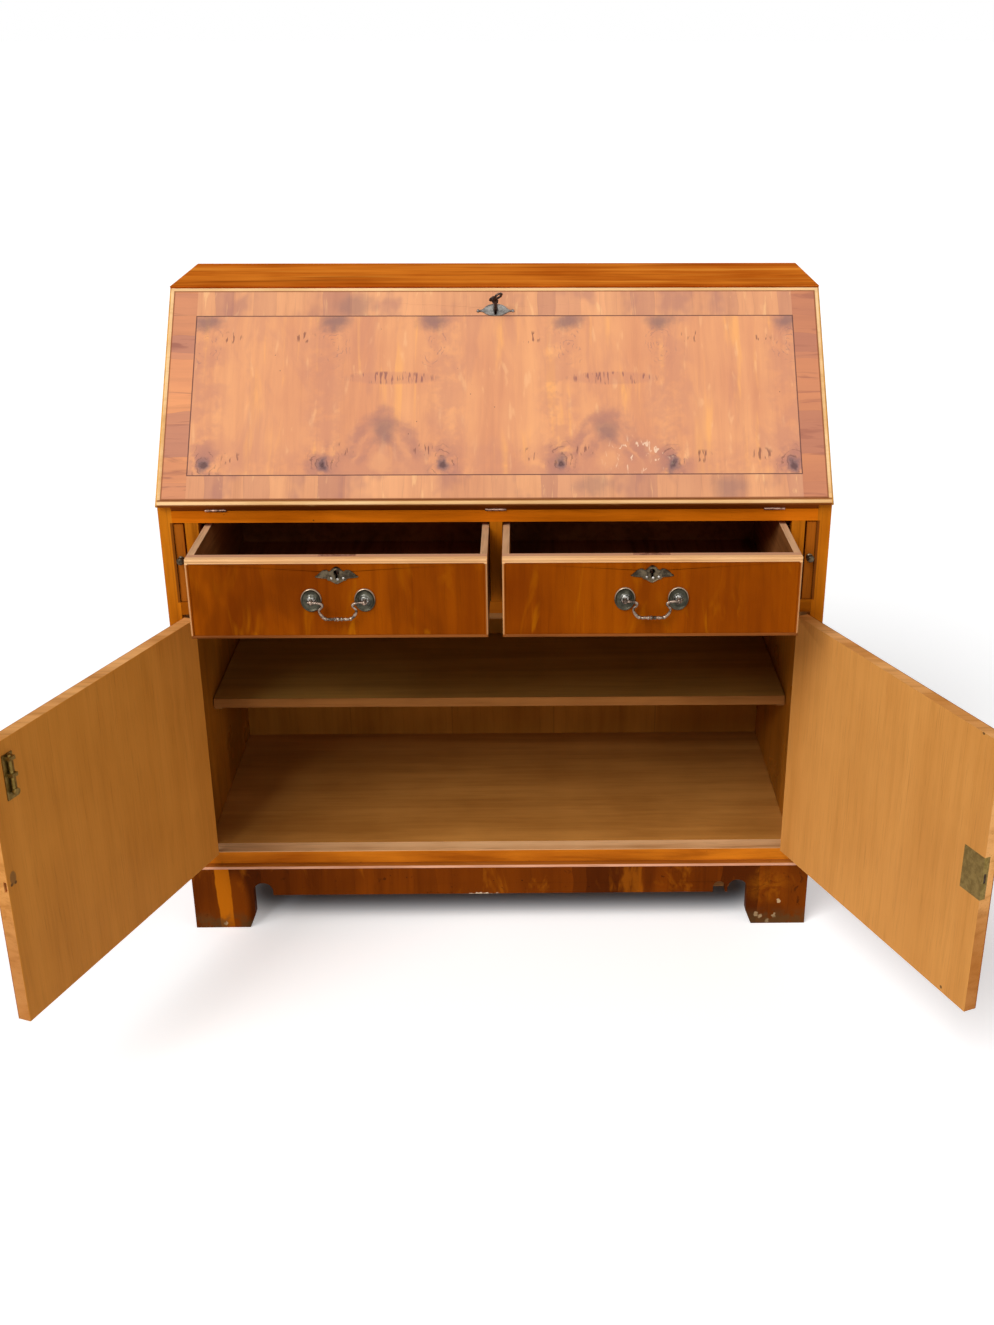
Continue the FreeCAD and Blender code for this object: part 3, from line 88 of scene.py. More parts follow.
class Shader:
    """A node material, with short names for the nodes that every wood and metal here is made of."""

    def __init__(self, name):
        self.material = bpy.data.materials.new(name)
        self.material.use_nodes = True
        self.tree = self.material.node_tree
        self.surface = self.tree.nodes["Principled BSDF"]
        self.here = self.node("TexCoord").outputs["Object"]
        self.height = None
        self.cloud = None

    def node(self, kind, links=None, **settings):
        made = self.tree.nodes.new("ShaderNode" + kind)
        for key, value in settings.items():
            setattr(made, key, value)
        for key, value in (links or {}).items():
            self.feed(made.inputs[key], value)
        return made

    def feed(self, socket, value):
        if isinstance(value, Coat):
            value = value.colour
        if isinstance(value, bpy.types.NodeSocket):
            self.tree.links.new(value, socket)
        elif socket.type == "RGBA":
            socket.default_value = (*value[:3], 1)
        else:
            socket.default_value = value

    def set(self, **values):
        for key, value in values.items():
            self.feed(self.surface.inputs[key.replace("_", " ")], value)

    def place(self, spot=(0, 0, 0), scale=(1, 1, 1), turn=(0, 0, 0), vector=None):
        links = {"Vector": vector or self.here, "Location": spot, "Rotation": turn, "Scale": scale}
        return self.node("Mapping", links).outputs["Vector"]

    def split(self, vector=None):
        return self.node("SeparateXYZ", {"Vector": vector or self.here}).outputs

    def join(self, x, y, z):
        return self.node("CombineXYZ", {"X": x, "Y": y, "Z": z}).outputs["Vector"]

    def sum(self, operation, first, second=0.0):
        return self.node("Math", {0: first, 1: second}, operation=operation).outputs["Value"]

    def gap(self, first, second):
        return self.sum("ABSOLUTE", self.sum("SUBTRACT", first, second))

    def reach(self, across, up):
        """Length of the way across and up."""
        return self.sum("SQRT", self.sum("ADD", self.times(across, across), self.times(up, up)))

    def along(self, origin, direction):
        """Distance of a point from an origin, along a direction."""
        away = self.node("VectorMath", {0: self.here, 1: origin}, operation="SUBTRACT").outputs["Vector"]
        return self.node("VectorMath", {0: away, 1: direction}, operation="DOT_PRODUCT").outputs["Value"]

    def noise(self, vector, scale=1.0, detail=2.0, rough=0.5, bend=0.0):
        links = {"Vector": vector, "Scale": scale, "Detail": detail, "Roughness": rough, "Distortion": bend}
        return self.node("TexNoise", links).outputs["Fac"]

    def spread(self, spot, stretch, *noise_settings, vector=None):
        """A noise drawn out along those axes whose stretch is under 1."""
        return self.noise(self.place(spot, stretch, vector=vector), *noise_settings)

    def shake(self, value, reach, *noise_settings):
        """The value moved to and fro by a noise."""
        loose = self.sum("SUBTRACT", self.noise(*noise_settings), 0.5)
        return self.sum("ADD", value, self.times(loose, reach))

    def cells(self, scale):
        return self.node("TexVoronoi", {"Vector": self.here, "Scale": scale}).outputs["Distance"]

    def blocks(self, value, scale):
        """A steady number for each stretch along a line, and how near its ends a point is."""
        where = {"W": value, "Scale": scale}
        tint = self.node("TexVoronoi", where, voronoi_dimensions="1D").outputs["Color"]
        edge = self.node("TexVoronoi", where, voronoi_dimensions="1D", feature="DISTANCE_TO_EDGE")
        return self.split(tint)[0], edge.outputs["Distance"]

    def ramp(self, value, low, high, start=0.0, end=1.0):
        links = {"Value": value, "From Min": low, "From Max": high, "To Min": start, "To Max": end}
        return self.node("MapRange", links, interpolation_type="SMOOTHSTEP").outputs["Result"]

    def above(self, value, level, soft):
        """1 where a value is above a level, with a soft step."""
        return self.ramp(value, level - soft, level + soft)

    def below(self, value, level, soft):
        return self.ramp(value, level + soft, level - soft)

    def within(self, value, low, high, soft):
        return self.times(self.above(value, low, soft), self.below(value, high, soft))

    def mix(self, share, first, second):
        made = self.node("Mix", data_type="RGBA")
        slots = [socket for socket in made.inputs if socket.enabled]
        for socket, value in zip(slots, (share, first, second)):
            self.feed(socket, value)
        return Coat(self, [socket for socket in made.outputs if socket.enabled][0])

    def times(self, *values):
        result = values[0]
        for value in values[1:]:
            result = self.sum("MULTIPLY", result, value)
        return result

    def spot(self, across, up, centre, reach, soft=0.5):
        """1 inside an ellipse, falling to 0 at its edge over the soft share of its reach."""
        dx = self.sum("DIVIDE", self.sum("SUBTRACT", across, centre[0]), reach[0])
        dy = self.sum("DIVIDE", self.sum("SUBTRACT", up, centre[1]), reach[1])
        return self.ramp(self.reach(dx, dy), 1, 1 - soft)

    def nearest(self, across, up, centres, squash=1.0):
        """Distance to the nearest of some centres, with heights weighed by a factor."""
        least = None
        for spot_x, spot_up in centres:
            dx = self.sum("SUBTRACT", across, spot_x)
            dy = self.times(self.sum("SUBTRACT", up, spot_up), squash)
            far = self.reach(dx, dy)
            least = far if least is None else self.sum("MINIMUM", least, far)
        return least

    def ring(self, far, radius, half_width):
        """1 on a ring of a distance field, fading over half a width to each side."""
        return self.ramp(self.gap(far, radius), half_width, 0.2 * half_width)

    def either(self, first, *others):
        for other in others:
            first = self.sum("MAXIMUM", first, other)
        return first

    def bump(self, height, distance):
        links = {"Height": height, "Strength": RELIEF, "Distance": distance}
        self.set(Normal=self.node("Bump", links).outputs["Normal"])


def darker(colour, share):
    return tuple(part * share for part in colour)


def grain(look, axis, dark, light, shift=0.0, figure=1.0, lines=0.5, pores=0.4, vector=None):
    """Colour of plain wood whose grain runs along one axis. The first one gives the relief and the sheen."""
    squeeze = [1, 1, 1]
    squeeze[axis] = 0.07
    where = look.place((shift, 0.7 * shift, 0.4 * shift), squeeze, vector=vector)
    squeeze[axis] = 0.025
    thin = look.place((shift, shift, shift), squeeze, vector=vector)
    broad = look.noise(where, 10, 3, 0.55, 0.7)
    cloud = look.noise(look.place((2 * shift, shift, 0), vector=vector), 7, 3, 0.5)
    growth = look.noise(where, 75, 4, 0.6, 0.4)
    pore = look.noise(thin, 700, 2, 0.5)
    small = look.sum("ADD", look.times(cloud, 0.3), look.times(growth, 0.2))
    tone = look.sum("ADD", look.times(broad, 0.5), small)
    colour = look.mix(look.ramp(tone, 0.5 - 0.13 * figure, 0.5 + 0.13 * figure), dark, light)
    colour = look.mix(look.times(look.ramp(growth, 0.52, 0.30), lines), colour, darker(dark, 0.45))
    colour = look.mix(look.times(look.ramp(pore, 0.58, 0.72), pores), colour, darker(dark, 0.4))
    if look.height is None:
        sunk = look.times(look.ramp(pore, 0.56, 0.72), 0.6)
        look.height = look.sum("SUBTRACT", look.times(growth, 0.5), sunk)
        look.cloud = cloud
    return colour


def finish_wood(look, colour, gloss, specular, depth=0.00025):
    """Set polish, sheen variation and grain relief of a wood."""
    look.set(Base_Color=colour, Roughness=look.ramp(look.cloud, 0.3, 0.7, gloss - 0.07, gloss + 0.1))
    look.surface.inputs["Specular IOR Level"].default_value = specular
    look.bump(look.height, depth)
    return look.material


def wood(name, axis, dark, light, shift, gloss, specular, **grain_settings):
    """A plain wood without marks of its own."""
    look = Shader(name)
    return finish_wood(look, grain(look, axis, dark, light, shift, **grain_settings), gloss, specular)


def paint(material, *names):
    """Give CAD nodes or new pieces one material."""
    for name in names:
        piece = NODES[name] if isinstance(name, str) else name
        piece.data.materials.clear()
        piece.data.materials.append(material)


# Woods of the carcase

def crossband(look, run, axis, dark, light, mauve, scale, shift, strength, vector=None):
    """Short veneer blocks side by side, each cut across the grain and a little different in tone."""
    loose = look.shake(run, 0.02, look.here, 9)
    tint, edge = look.blocks(loose, scale)
    broad, _ = look.blocks(look.sum("ADD", loose, 0.37), 0.45 * scale)
    colour = grain(look, axis, dark, light, shift, 1.5, 0.10, 0.12, vector=vector)
    colour.veil(tint, 0.40, 0.95, mauve, strength)
    colour.veil(broad, 0.55, 0.95, darker(light, 1.12), 0.35)
    colour.veil(edge, 0.012, 0.0, darker(mauve, 0.6), 0.25)
    return colour


PEACH = (0.84, 0.385, 0.185)
APRICOT = (0.96, 0.445, 0.150)
ROSE = (0.62, 0.265, 0.165)
MAUVE = (0.44, 0.195, 0.155)
SLATE = (0.235, 0.140, 0.140)
INK = (0.090, 0.045, 0.045)
BAND_HALF, BAND_FOOT, BAND_TOP = 0.455, 0.047, 0.3125
STRING_HALF, STRING_END = 0.0008, 0.0006
LIP_WIDTH = 0.010
VENEER_BACK = -0.010
FOOT_SHADE = (0.190, 0.036, 0.001)
KNOTS = ((-0.434, 0.064), (-0.2555, 0.065), (-0.078, 0.064), (0.096, 0.066), (0.262, 0.062), (0.442, 0.063))
CLOUDS = ((-0.440, 0.302), (-0.243, 0.303), (-0.093, 0.304), (0.112, 0.303), (0.250, 0.304), (0.448, 0.303))
ARCHES = ((-0.168, 0.066), (0.168, 0.066))
ARCH_HEARTS = ((-0.168, 0.121), (0.168, 0.118))
TICK_ROWS = ((-0.158, 0.207), (0.178, 0.206))
TICKS = ((-0.400, 0.276), (-0.289, 0.277), (0.054, 0.275), (0.297, 0.277), (0.405, 0.274), (-0.391, 0.074),
         (-0.224, 0.090), (-0.107, 0.088), (0.050, 0.080), (0.133, 0.088), (0.307, 0.076), (0.397, 0.080))
SMUDGES = ((0.145, 0.028), (0.345, 0.028), (-0.215, 0.330))


def leaf_marks(look, colour, x, up, x_soft, up_soft):
    """Knots, grey clouds, arches and rows of ticks that repeat across the matched veneer."""
    patchy = look.ramp(look.noise(look.place((2, 9, 4)), 34, 3, 0.6), 0.36, 0.60)
    columns = look.nearest(x_soft, 0.0, [(spot[0], 0.0) for spot in KNOTS])
    colour.veil(columns, 0.046, 0.012, ROSE, 0.50, patchy)
    foot = look.times(look.ramp(up_soft, 0.115, 0.060), patchy)
    colour.tint(foot, ROSE, 0.42)

    beside = look.nearest(x_soft, 0.0, [(spot[0], 0.0) for spot in ARCHES])
    slope = look.sum("ADD", up_soft, look.times(beside, 0.45))
    arch = look.nearest(x_soft, slope, ARCHES, 0.72)
    over = look.ramp(up_soft, 0.060, 0.085)
    broken = look.ramp(look.noise(look.place((6, 1, 2)), 30, 3, 0.6), 0.32, 0.62)
    colour.veil(arch, 0.078, 0.050, ROSE, 0.50)
    for radius, half_width, tint, strength in ((0.059, 0.017, MAUVE, 0.55), (0.034, 0.009, MAUVE, 0.50),
                                               (0.046, 0.005, PEACH, 0.40)):
        colour.tint(look.times(look.ring(arch, radius, half_width), over, broken), tint, strength)
    heart = look.nearest(x_soft, up_soft, ARCH_HEARTS, 0.85)
    colour.veil(heart, 0.028, 0.003, SLATE, 0.60)
    glow = look.nearest(x_soft, up_soft, ARCHES, 1.0)
    colour.veil(glow, 0.024, 0.010, PEACH, 0.6)

    cloud = look.nearest(x_soft, up_soft, CLOUDS, 1.6)
    colour.veil(cloud, 0.036, 0.006, SLATE, 0.72)
    eyes = look.nearest(x_soft, up_soft, [(spot[0], 0.262) for spot in CLOUDS], 0.65)
    waves = look.sum("SINE", look.times(eyes, 1100.0))
    wisps = look.times(look.ramp(waves, 0.5, 0.95), look.ramp(eyes, 0.032, 0.018))
    thin = look.ramp(look.noise(look.here, 70, 3, 0.6), 0.48, 0.62)
    colour.tint(look.times(wisps, thin), MAUVE, 0.55)

    knot = look.nearest(x_soft, up_soft, KNOTS, 0.70)
    colour.veil(knot, 0.034, 0.010, MAUVE, 0.65, patchy)
    colour.veil(knot, 0.0125, 0.0035, SLATE, 0.85)
    colour.veil(knot, 0.0060, 0.0020, INK, 0.60)
    rings = look.ramp(look.sum("SINE", look.times(knot, 900.0)), 0.60, 0.95)
    near = look.times(look.ramp(knot, 0.028, 0.014), look.ramp(look.noise(look.here, 55, 2), 0.46, 0.60))
    colour.tint(look.times(rings, near), INK, 0.45)

    bars = look.spread((0, 0, 5), (1, 0.16, 0.16), 190, 2, 0.6)
    rows = look.either(*[look.spot(x, up, centre, (0.078, 0.0125), 0.35) for centre in TICK_ROWS])
    colour.tint(rows, ROSE, 0.45)
    colour.veil(bars, 0.53, 0.61, (0.27, 0.11, 0.105), 0.75, rows)
    small = look.spread((9, 0, 5), (1, 0.25, 0.25), 240, 1, 0.5)
    few = look.ramp(look.nearest(x, up, TICKS, 1.5), 0.019, 0.010)
    colour.veil(small, 0.57, 0.65, (0.22, 0.09, 0.07), 0.75, few)


def fall_veneer():
    """Matched figured veneer inside thin stringing, with a crossbanded border."""
    look = Shader("fall_veneer")
    x = look.split()[0]
    far = look.sum("ABSOLUTE", x)
    up = look.along(FALL_FOOT, UP_SLOPE)
    x_soft = look.shake(x, 0.034, look.here, 24, 4, 0.65)
    up_soft = look.shake(up, 0.036, look.place((7, 3, 1)), 27, 4, 0.65)
    sheet = look.join(x, up, 0.0)

    inner = grain(look, 1, (0.70, 0.290, 0.155), (0.90, 0.42, 0.190), 0.3, 1.5, 0.05, 0.06, vector=sheet)
    streak = look.spread((3, 0, 0), (1, 0.10, 0.10), 40, 3, 0.6, 0.4, vector=sheet)
    inner.veil(streak, 0.54, 0.70, APRICOT, 0.70)
    pale = look.spread((5, 1, 0), (1, 0.22, 0.22), 75, 2, 0.6, 0.3, vector=sheet)
    inner.veil(pale, 0.60, 0.72, (0.98, 0.56, 0.28), 0.35)
    drift = look.spread((1, 0, 0), (1, 0.35, 0.35), 13, 4, 0.65, 1.0, vector=sheet)
    inner.veil(drift, 0.50, 0.68, ROSE, 0.45)
    leaf_marks(look, inner, x, up, x_soft, up_soft)
    inner.veil(up, 0.30, 0.34, MAUVE, 0.2)

    scratch = look.noise(look.place((4, 2, 1), (1, 0.40, 0.40), (0, 0, 0.6)), 150, 2, 0.6, 0.8)
    worn = look.times(look.ramp(scratch, 0.60, 0.67), look.spot(x, up, (0.212, 0.078), (0.066, 0.038), 0.6))
    inner.tint(worn, (0.98, 0.72, 0.50), 0.70)
    rare = look.cells(34.0)
    inner.veil(rare, 0.035, 0.020, darker(MAUVE, 0.3), 0.7)

    sides = crossband(look, up, 0, (0.62, 0.245, 0.130), (0.84, 0.345, 0.150), MAUVE, 26, 0.9, 0.60, sheet)
    slanted = look.place((1, 4, 2), (0.10, 1, 1), (0, 0, 0.22), vector=sheet)
    lines = look.noise(slanted, 70, 3, 0.6, 0.9)
    sides.veil(lines, 0.55, 0.68, (0.30, 0.11, 0.085), 0.60)
    sides.veil(x, 0.0, 0.1, (0.48, 0.175, 0.105), 0.45)
    ends = crossband(look, x, 1, (0.66, 0.285, 0.155), (0.88, 0.42, 0.20), MAUVE, 30, 1.7, 0.45, sheet)
    curls = look.spread((8, 1, 1), (1, 0.16, 0.16), 60, 3, 0.6, 1.0, vector=sheet)
    ends.veil(curls, 0.61, 0.70, (0.98, 0.58, 0.27), 0.50)
    clouds = look.spread((5, 5, 0), (1, 0.6, 0.6), 16, 3, 0.6, vector=sheet)
    ends.veil(clouds, 0.50, 0.68, MAUVE, 0.55)
    smudge = look.nearest(x_soft, up_soft, SMUDGES, 1.3)
    ends.veil(smudge, 0.040, 0.008, SLATE, 0.45)
    band = look.mix(look.above(far, BAND_HALF, 0.0002), ends, sides)
    inside = look.times(look.below(far, BAND_HALF, 0.0002), look.within(up, BAND_FOOT, BAND_TOP, 0.0002))
    colour = look.mix(inside, band, inner)

    upright = look.times(look.below(look.gap(far, BAND_HALF), STRING_HALF, 0.0003),
                         look.within(up, BAND_FOOT - STRING_END, BAND_TOP + STRING_END, 0.0002))
    to_level = look.sum("MINIMUM", look.gap(up, BAND_FOOT), look.gap(up, BAND_TOP))
    level = look.times(look.below(to_level, STRING_HALF, 0.0003),
                       look.below(far, BAND_HALF + STRING_END, 0.0002))
    colour.tint(look.either(upright, level), INK, 0.85)
    # A dark line round the field where it meets the lip: a dark joint, with painted shade in the step.
    rim = look.either(look.above(far, HALF_WIDTH - LIP_WIDTH, 0.0004), look.below(up, LIP_WIDTH, 0.0004),
                      look.above(up, FALL_LENGTH - LIP_WIDTH, 0.0004))
    colour.tint(rim, (0.30, 0.10, 0.035), 0.8)
    foot = look.ramp(up, 0.0085, 0.0070)
    colour.tint(foot, FOOT_SHADE, 0.95)
    outer = look.above(look.along(FALL_FOOT, OUT_SLOPE), VENEER_BACK, 0.0005)
    back = grain(look, 0, (0.20, 0.07, 0.02), (0.36, 0.14, 0.04), 2.2)
    colour = look.mix(outer, back, colour)
    colour.tint(foot, FOOT_SHADE, 0.90)
    return finish_wood(look, colour, 0.34, 0.04, 0.0001)


def lip_wood():
    """Pale moulding round the fall, with painted shade in the step beside the veneer along its foot, and
    painted shade under its foot.
    """
    look = Shader("lip_wood")
    far = look.sum("ABSOLUTE", look.split()[0])
    up = look.along(FALL_FOOT, UP_SLOPE)
    out = look.along(FALL_FOOT, OUT_SLOPE)
    colour = grain(look, 0, (0.78, 0.42, 0.155), (0.98, 0.66, 0.34), 0.4, 1.2, 0.15, 0.10)
    # Painted shade in the step beside the veneer, along the foot of the fall only.
    painted_step_shade = look.times(look.ramp(up, 0.0052, 0.0062), look.ramp(up, 0.0090, 0.0086))
    colour.tint(painted_step_shade, (0.30, 0.085, 0.016), 0.85)
    # Painted shade on the lower back part of the lip, under its foot.
    under = look.times(look.ramp(up, 0.02, 0.012), look.ramp(out, -0.0026, -0.0038))
    colour.tint(under, (0.24, 0.050, 0.001), 0.95)
    amber = grain(look, 1, (0.60, 0.24, 0.030), (0.86, 0.42, 0.080), 1.4, 1.3, 0.3, 0.2)
    flank = look.times(look.above(far, HALF_WIDTH - 0.003, 0.0005), look.ramp(out, -0.0008, -0.0020))
    colour.tint(flank, amber, 0.9)
    worn = look.spread((0, 0, 0), (0.3, 1, 1), 45, 3, 0.6)
    colour.veil(worn, 0.60, 0.74, (0.72, 0.36, 0.12), 0.45)
    return finish_wood(look, colour, 0.34, 0.0)


def top_wood():
    """Glossy orange-brown top with long dark streaks."""
    look = Shader("top_wood")
    colour = grain(look, 0, (0.49, 0.088, 0.004), (0.84, 0.235, 0.020), 0.2, 1.2, 0.25, 0.2)
    streak = look.spread((0.6, 0.2, 0), (0.10, 1, 1), 15, 3, 0.6, 0.8)
    streaks_at = 0.31
    more = look.ramp(look.gap(look.split()[1], streaks_at), 0.11, 0.02, 0.35, 1.0)
    colour.veil(streak, 0.53, 0.72, (0.20, 0.032, 0.002), 0.75, more)
    bright = look.spread((2.6, 0.9, 0), (0.08, 1, 1), 30, 3, 0.6)
    colour.veil(bright, 0.56, 0.72, (0.98, 0.36, 0.045), 0.50)
    return finish_wood(look, colour, 0.28, 0.0)


def side_wood(hand, shift):
    """Sides: figured outside, orange front edge with painted shade beside the support, plain brown inside."""
    look = Shader("side_wood_" + hand)
    x, y, z = look.split()
    far = look.sum("ABSOLUTE", x)
    outer = grain(look, 2, (0.26, 0.055, 0.004), (0.52, 0.14, 0.012), shift, 1.3, 0.3, 0.3)
    inner = grain(look, 2, (0.25, 0.082, 0.006), (0.42, 0.145, 0.012), shift + 1, 0.8, 0.15, 0.2)
    edge = grain(look, 2, (0.44, 0.110, 0.002), (0.70, 0.215, 0.008), shift + 2, 1.2, 0.12, 0.1)
    colour = look.mix(look.ramp(far, SIDE_INNER + 0.0015, SIDE_INNER + 0.0008), outer, inner)
    front = look.ramp(y, 0.0014, 0.0008)
    colour = look.mix(front, colour, edge)
    seam = look.ramp(look.gap(far, SIDE_INNER + 0.0068), 0.0009, 0.0004)
    colour.tint(look.times(seam, front), (0.16, 0.04, 0.005), 0.20)
    # Painted shade: the inner strip of the front edge beside the support is darkened in place of a gap.
    slot = look.times(look.below(far, SIDE_INNER + 0.0036, 0.0004),
                      look.within(z, RAIL_TOP, BED_LOW.z, 0.0005))
    colour.tint(look.times(slot, front), (0.10, 0.020, 0.004), 0.75)
    return finish_wood(look, colour, 0.32, 0.03)


def drawer_top(look, z):
    """1 at the top edge of the drawers."""
    return look.ramp(z, DRAWER_HIGH.z - 0.0008, DRAWER_HIGH.z - 0.0003)


def drawer_wood(hand, shift):
    """Deep orange-brown drawer front with soft vertical figure, and painted shade in the keyhole."""
    look = Shader("drawer_wood_" + hand)
    x, y, z = look.split()
    colour = grain(look, 2, (0.190, 0.032, 0.0002), (0.345, 0.072, 0.0005), shift, 1.3, 0.10, 0.15)
    amber = look.spread((shift, 0, 2), (1, 1, 0.30), 20, 3, 0.6, 0.9)
    colour.veil(amber, 0.54, 0.72, (0.40, 0.105, 0.0004), 0.60)
    flame = look.spread((shift + 6, 0, 2), (1, 1, 0.22), 50, 2, 0.5, 0.8)
    colour.veil(flame, 0.63, 0.72, (0.52, 0.155, 0.001), 0.50, look.ramp(z, 0.65, 0.59))
    dusk = look.spread((shift + 3, 0, 2), (1, 1, 0.35), 10, 3, 0.6, 0.5)
    colour.veil(dusk, 0.48, 0.68, (0.140, 0.024, 0.0002), 0.65)
    plate_at = middle("drawer_%s_escutcheon" % hand)
    # Painted shade: a near-black spot behind the keyhole of the plate.
    hole = look.nearest(x, z, [(plate_at.x, plate_at.z + 0.0048)], 0.7)
    colour.veil(hole, 0.0072, 0.0062, (0.006, 0.004, 0.003))
    inside = grain(look, 0, (0.28, 0.13, 0.06), (0.44, 0.22, 0.11), shift, 1.0, 0.3, 0.4)
    colour = look.mix(look.above(y, DRAWER_HIGH.y - 0.004, 0.0005), colour, inside)
    colour.tint(drawer_top(look, z), (0.60, 0.31, 0.175), 0.9)
    return finish_wood(look, colour, 0.34, 0.015, 0.0002)


def box_wood():
    """Plain drawer linings: dusty pinkish top edges over dark brown faces."""
    look = Shader("box_wood")
    colour = grain(look, 1, (0.20, 0.072, 0.020), (0.38, 0.150, 0.045), 1.2, 1.0, 0.2, 0.3)
    top = grain(look, 1, (0.50, 0.262, 0.130), (0.80, 0.490, 0.270), 2.2, 1.4, 0.3, 0.4)
    colour = look.mix(drawer_top(look, look.split()[2]), colour, top)
    return finish_wood(look, colour, 0.55, 0.0)


def bead_wood(hand, shift):
    """Cockbead round a drawer front: pale on top and along its outer edges, browner within."""
    look = Shader("bead_wood_" + hand)
    x, _, z = look.split()
    far = look.sum("ABSOLUTE", x)
    colour = grain(look, 0, (0.80, 0.40, 0.155), (0.98, 0.63, 0.32), shift, 1.5, 0.25, 0.15)
    groove = look.ramp(look.gap(z, DRAWER_HIGH.z - 0.0037), 0.0008, 0.0003)
    colour.tint(groove, (0.42, 0.15, 0.04), 0.65)
    flank = grain(look, 2, (0.46, 0.20, 0.070), (0.74, 0.37, 0.150), shift + 2, 1.2, 0.3, 0.2)
    end = -DRAWER_LOW.x
    shaded = look.times(look.ramp(x, end - 0.0045, end - 0.0030), look.ramp(x, end - 0.0005, end - 0.0017))
    flank.tint(shaded, (0.30, 0.125, 0.045), 0.75)
    plain = grain(look, 2, (0.20, 0.036, 0.0004), (0.36, 0.080, 0.002), shift + 4, 1.2, 0.2, 0.2)
    outside = look.either(look.below(far, DRAWER_LOW.x + 0.00235, 0.00025),
                          look.above(far, DRAWER_HIGH.x - 0.00235, 0.00025))
    flank = look.mix(outside, plain, flank)
    foot = grain(look, 0, (0.17, 0.045, 0.008), (0.33, 0.10, 0.020), shift + 3, 1.2, 0.3, 0.3)
    colour = look.mix(look.below(z, DRAWER_HIGH.z - 0.0075, 0.0005), colour, flank)
    colour = look.mix(look.below(z, DRAWER_LOW.z + 0.0044, 0.0005), colour, foot)
    return finish_wood(look, colour, 0.36, 0.03)


def worm_holes(look, colour, scale, reach, area, least, dark, strength):
    """Small dark holes in those areas of a wood where a noise is up."""
    colour.veil(look.cells(scale), reach, 0.05, dark, strength, look.ramp(area, least, 0.60))


CHIPS = ((0.426, 0.018), (0.432, 0.015), (0.456, 0.016), (0.446, 0.005), (0.463, 0.043), (-0.459, 0.008))


def apron_wood():
    """Dark reddish-brown cross-cut veneer blocks, with worm specks, a burr patch, chips and worn feet."""
    look = Shader("apron_wood")
    x, _, z = look.split()
    colour = crossband(look, x, 2, (0.088, 0.015, 0.0004), (0.215, 0.043, 0.001), (0.060, 0.010, 0.0005),
                       17, 0.8, 0.85)
    light = look.spread((1.3, 0, 0.4), (1, 1, 0.35), 17, 4, 0.65, 0.8)
    colour.veil(light, 0.55, 0.68, (0.34, 0.090, 0.003), 0.60)
    knots = look.noise(look.place((6.3, 0, 3.4)), 38, 3, 0.7, 1.5)
    colour.veil(knots, 0.62, 0.72, (0.045, 0.010, 0.001), 0.70)
    mottle = look.ramp(look.noise(look.here, 40, 4, 0.7, 1.0), 0.36, 0.66)
    burr = look.times(look.spot(x, z, (0.444, 0.072), (0.046, 0.044), 0.8), mottle)
    colour.tint(burr, (0.40, 0.115, 0.003), 0.50)
    foot = look.spot(x, z, (-0.437, 0.045), (0.026, 0.080), 0.5)
    colour.tint(foot, (0.28, 0.056, 0.001), 0.65)
    heel = look.spot(x, z, (0.450, 0.020), (0.034, 0.030), 0.5)
    colour.tint(heel, (0.075, 0.014, 0.001), 0.45)
    stripe_at, stripe_lean = -0.4551, 0.032
    leaning = look.sum("ADD", x, look.times(z, stripe_lean))
    ragged = look.gap(look.shake(leaning, 0.006, look.here, 30, 3), stripe_at)
    stripe = look.times(look.ramp(ragged, 0.0125, 0.0105), look.ramp(z, 0.0, 0.030, 0.45, 1.0))
    colour.tint(stripe, (0.56, 0.150, 0.003), 0.90)
    area = look.noise(look.place((7, 7, 7)), 9, 1)
    worm_holes(look, colour, 60.0, 0.09, area, 0.50, (0.02, 0.006, 0.002), 0.9)
    ripped = look.shake(x, 0.012, look.here, 160, 3)
    torn = look.shake(z, 0.012, look.place((3, 3, 3)), 160, 3)
    chips = look.nearest(ripped, torn, CHIPS)
    colour.veil(chips, 0.0038, 0.0022, (0.55, 0.37, 0.19), 0.85)
    block = look.times(look.within(x, 0.3585, 0.3795, 0.0015), look.ramp(z, 0.064, 0.061))
    colour.tint(block, (0.36, 0.125, 0.030), 0.55)
    scuffed = look.times(look.ramp(z, 0.036, 0.010), look.ramp(look.noise(look.here, 48, 3, 0.6), 0.34, 0.54))
    colour.tint(scuffed, (0.085, 0.052, 0.018), 0.60)
    edge_chip = look.spot(x, torn, (-0.030, 0.0615), (0.030, 0.0022), 0.4)
    colour.tint(edge_chip, (0.80, 0.62, 0.42), 0.85)
    return finish_wood(look, colour, 0.38, 0.025)


STRIP_FINISH = (0.34, 0.02)


def strip_wood(name, shift, dark, light):
    """Long strips of the front with worm specks."""
    look = Shader(name)
    colour = grain(look, 0, dark, light, shift, 1.2, 0.25, 0.2)
    area = look.noise(look.place((shift, 7, 7)), 8, 1)
    worm_holes(look, colour, 70.0, 0.10, area, 0.52, (0.04, 0.010, 0.002), 0.85)
    return look, colour


def bed_wood():
    """Writing bed: orange, with painted shade in a strip on top along the foot of the fall."""
    look, colour = strip_wood("bed_wood", 3.0, (0.56, 0.120, 0.002), (0.90, 0.230, 0.008))
    _, y, z = look.split()
    top, front = BED_HIGH.z, BED_LOW.y
    # Painted shade: a dark strip on the top, under the foot of the fall.
    strip = look.times(look.ramp(z, top - 0.0008, top - 0.0002), look.ramp(y, front + 0.016, front + 0.010))
    colour.tint(strip, (0.17, 0.038, 0.003), 0.9)
    return finish_wood(look, colour, 0.34, 0.0)


